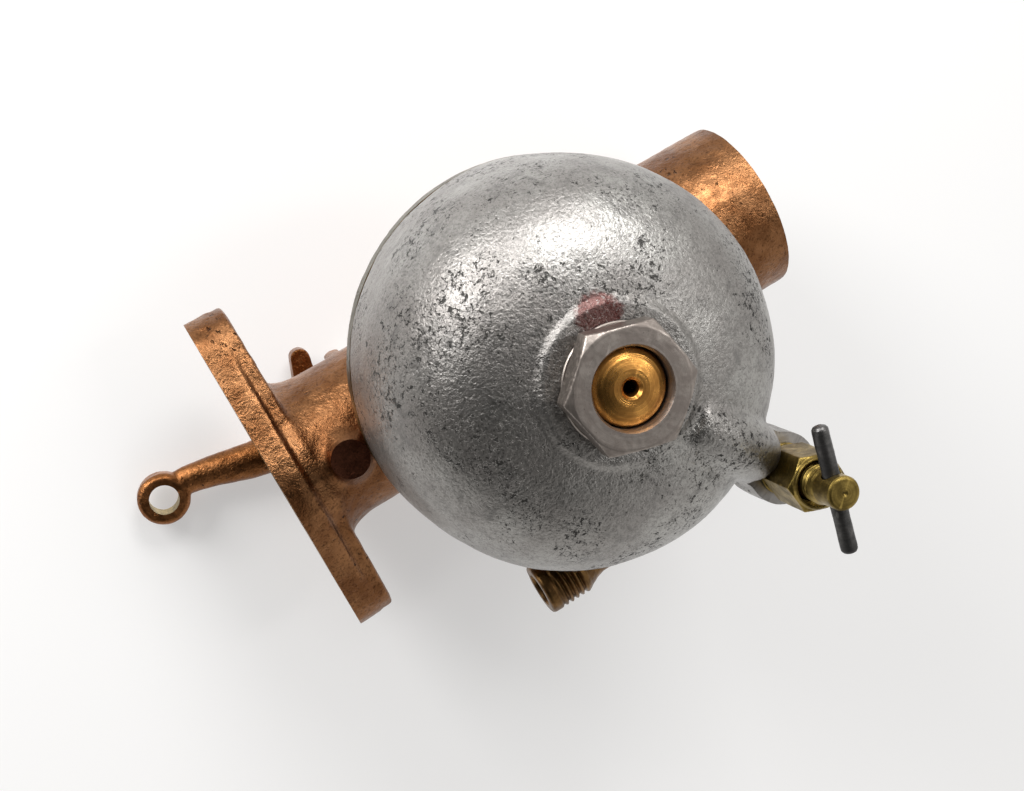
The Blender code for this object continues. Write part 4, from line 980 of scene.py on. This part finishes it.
def sheet_of_floor(name, z, size, upward, material):
    bm = bmesh.new()
    corners = [(-size, -size), (size, -size), (size, size), (-size, size)]
    vertices = [bm.verts.new((x + 50, y, z)) for x, y in corners]
    bm.faces.new(vertices if upward else vertices[::-1])
    sheet = mesh_object(name, bm, (material,))
    return sheet


def area_light(name, towards, distance, size, power):
    """A soft light in the direction towards from the object, aimed at it."""
    light = bpy.data.lights.new(name, "AREA")
    light.shape = "RECTANGLE"
    light.size, light.size_y = size
    light.energy = power
    lamp = bpy.data.objects.new(name, light)
    direction = towards.normalized()
    lamp.location = OBJECT_CENTRE + direction * distance
    lamp.rotation_euler = direction.to_track_quat("Z", "Y").to_euler()
    bpy.context.scene.collection.objects.link(lamp)


def in_view(right, up, back):
    return (right * CAMERA_RIGHT + up * CAMERA_UP + back * CAMERA_BACK).normalized()


def world():
    """A pale room that is dark behind the camera, with a bright window above it and one to its left."""
    scene_world = bpy.data.worlds.new("studio")
    bpy.context.scene.world = scene_world
    scene_world.use_nodes = True
    tree = scene_world.node_tree
    background = tree.nodes["Background"]
    coords = tree.nodes.new("ShaderNodeTexCoord")

    def glow(towards, low, high, dim, bright):
        dot = tree.nodes.new("ShaderNodeVectorMath")
        dot.operation = "DOT_PRODUCT"
        dot.inputs[1].default_value = towards
        tree.links.new(coords.outputs["Generated"], dot.inputs[0])
        fade = tree.nodes.new("ShaderNodeMapRange")
        fade.interpolation_type = "SMOOTHSTEP"
        for key, value in (("From Min", low), ("From Max", high), ("To Min", dim), ("To Max", bright)):
            fade.inputs[key].default_value = value
        tree.links.new(dot.outputs["Value"], fade.inputs["Value"])
        return fade.outputs["Result"]

    def combined(operation, first, second):
        node = tree.nodes.new("ShaderNodeMath")
        node.operation = operation
        tree.links.new(first, node.inputs[0])
        tree.links.new(second, node.inputs[1])
        return node.outputs[0]

    room = glow(in_view(-0.22, -0.22, 0.95), 0.15, 0.88, 0.78, 0.03)
    window = glow(in_view(0.28, 0.72, 0.72), 0.72, 0.98, 0.0, 0.7)
    side_window = glow(in_view(-0.65, 0.48, 0.72), 0.74, 0.98, 0.0, 0.5)
    total = combined("ADD", room, combined("ADD", window, side_window))
    tree.links.new(total, background.inputs["Strength"])
    background.inputs["Color"].default_value = (1.0, 0.985, 0.965, 1.0)


def stage():
    floor_paint = pale_surface("floor", (0.80, 0.80, 0.80), 0.0, False)
    backdrop_paint = pale_surface("backdrop", (0.50, 0.495, 0.49), 0.40, True)
    floor = sheet_of_floor("floor", FLOOR_Z, 3000, True, floor_paint)
    backdrop = sheet_of_floor("backdrop", BACKDROP_Z, 400, False, backdrop_paint)
    for sheet in (floor, backdrop):
        sheet.visible_shadow = False
    floor.visible_glossy = False
    floor.visible_diffuse = False
    world()
    area_light("key", in_view(-0.62, 0.48, 0.78), 0.75, (0.32, 0.32), 4.2)
    area_light("top", in_view(0.25, 0.72, 0.78), 0.80, (0.32, 0.24), 3.5)
    area_light("right", in_view(0.75, 0.12, 0.75), 0.80, (0.10, 0.22), 0.7)
    area_light("overhead", Vector((0.2, -0.3, 1)), 0.9, (0.8, 0.8), 14.0)

    camera = bpy.data.cameras.new("camera")
    camera.lens = 49.5
    camera.sensor_width = 36
    camera.clip_start = 0.01
    view = bpy.data.objects.new("camera", camera)
    turn = Matrix((CAMERA_RIGHT, CAMERA_UP, CAMERA_BACK)).transposed()
    view.matrix_world = Matrix.Translation(CAMERA_AT) @ turn.to_4x4()
    bpy.context.scene.collection.objects.link(view)
    bpy.context.scene.camera = view
    bpy.context.scene.view_settings.view_transform = "Standard"


body_casting()
float_bowl()
bowl_nut_and_washer()
bowl_gasket()
standpipe()
drain_cock()
throttle_lever()
inlet_elbow()
mixture_needle()
carried_over()
stage()
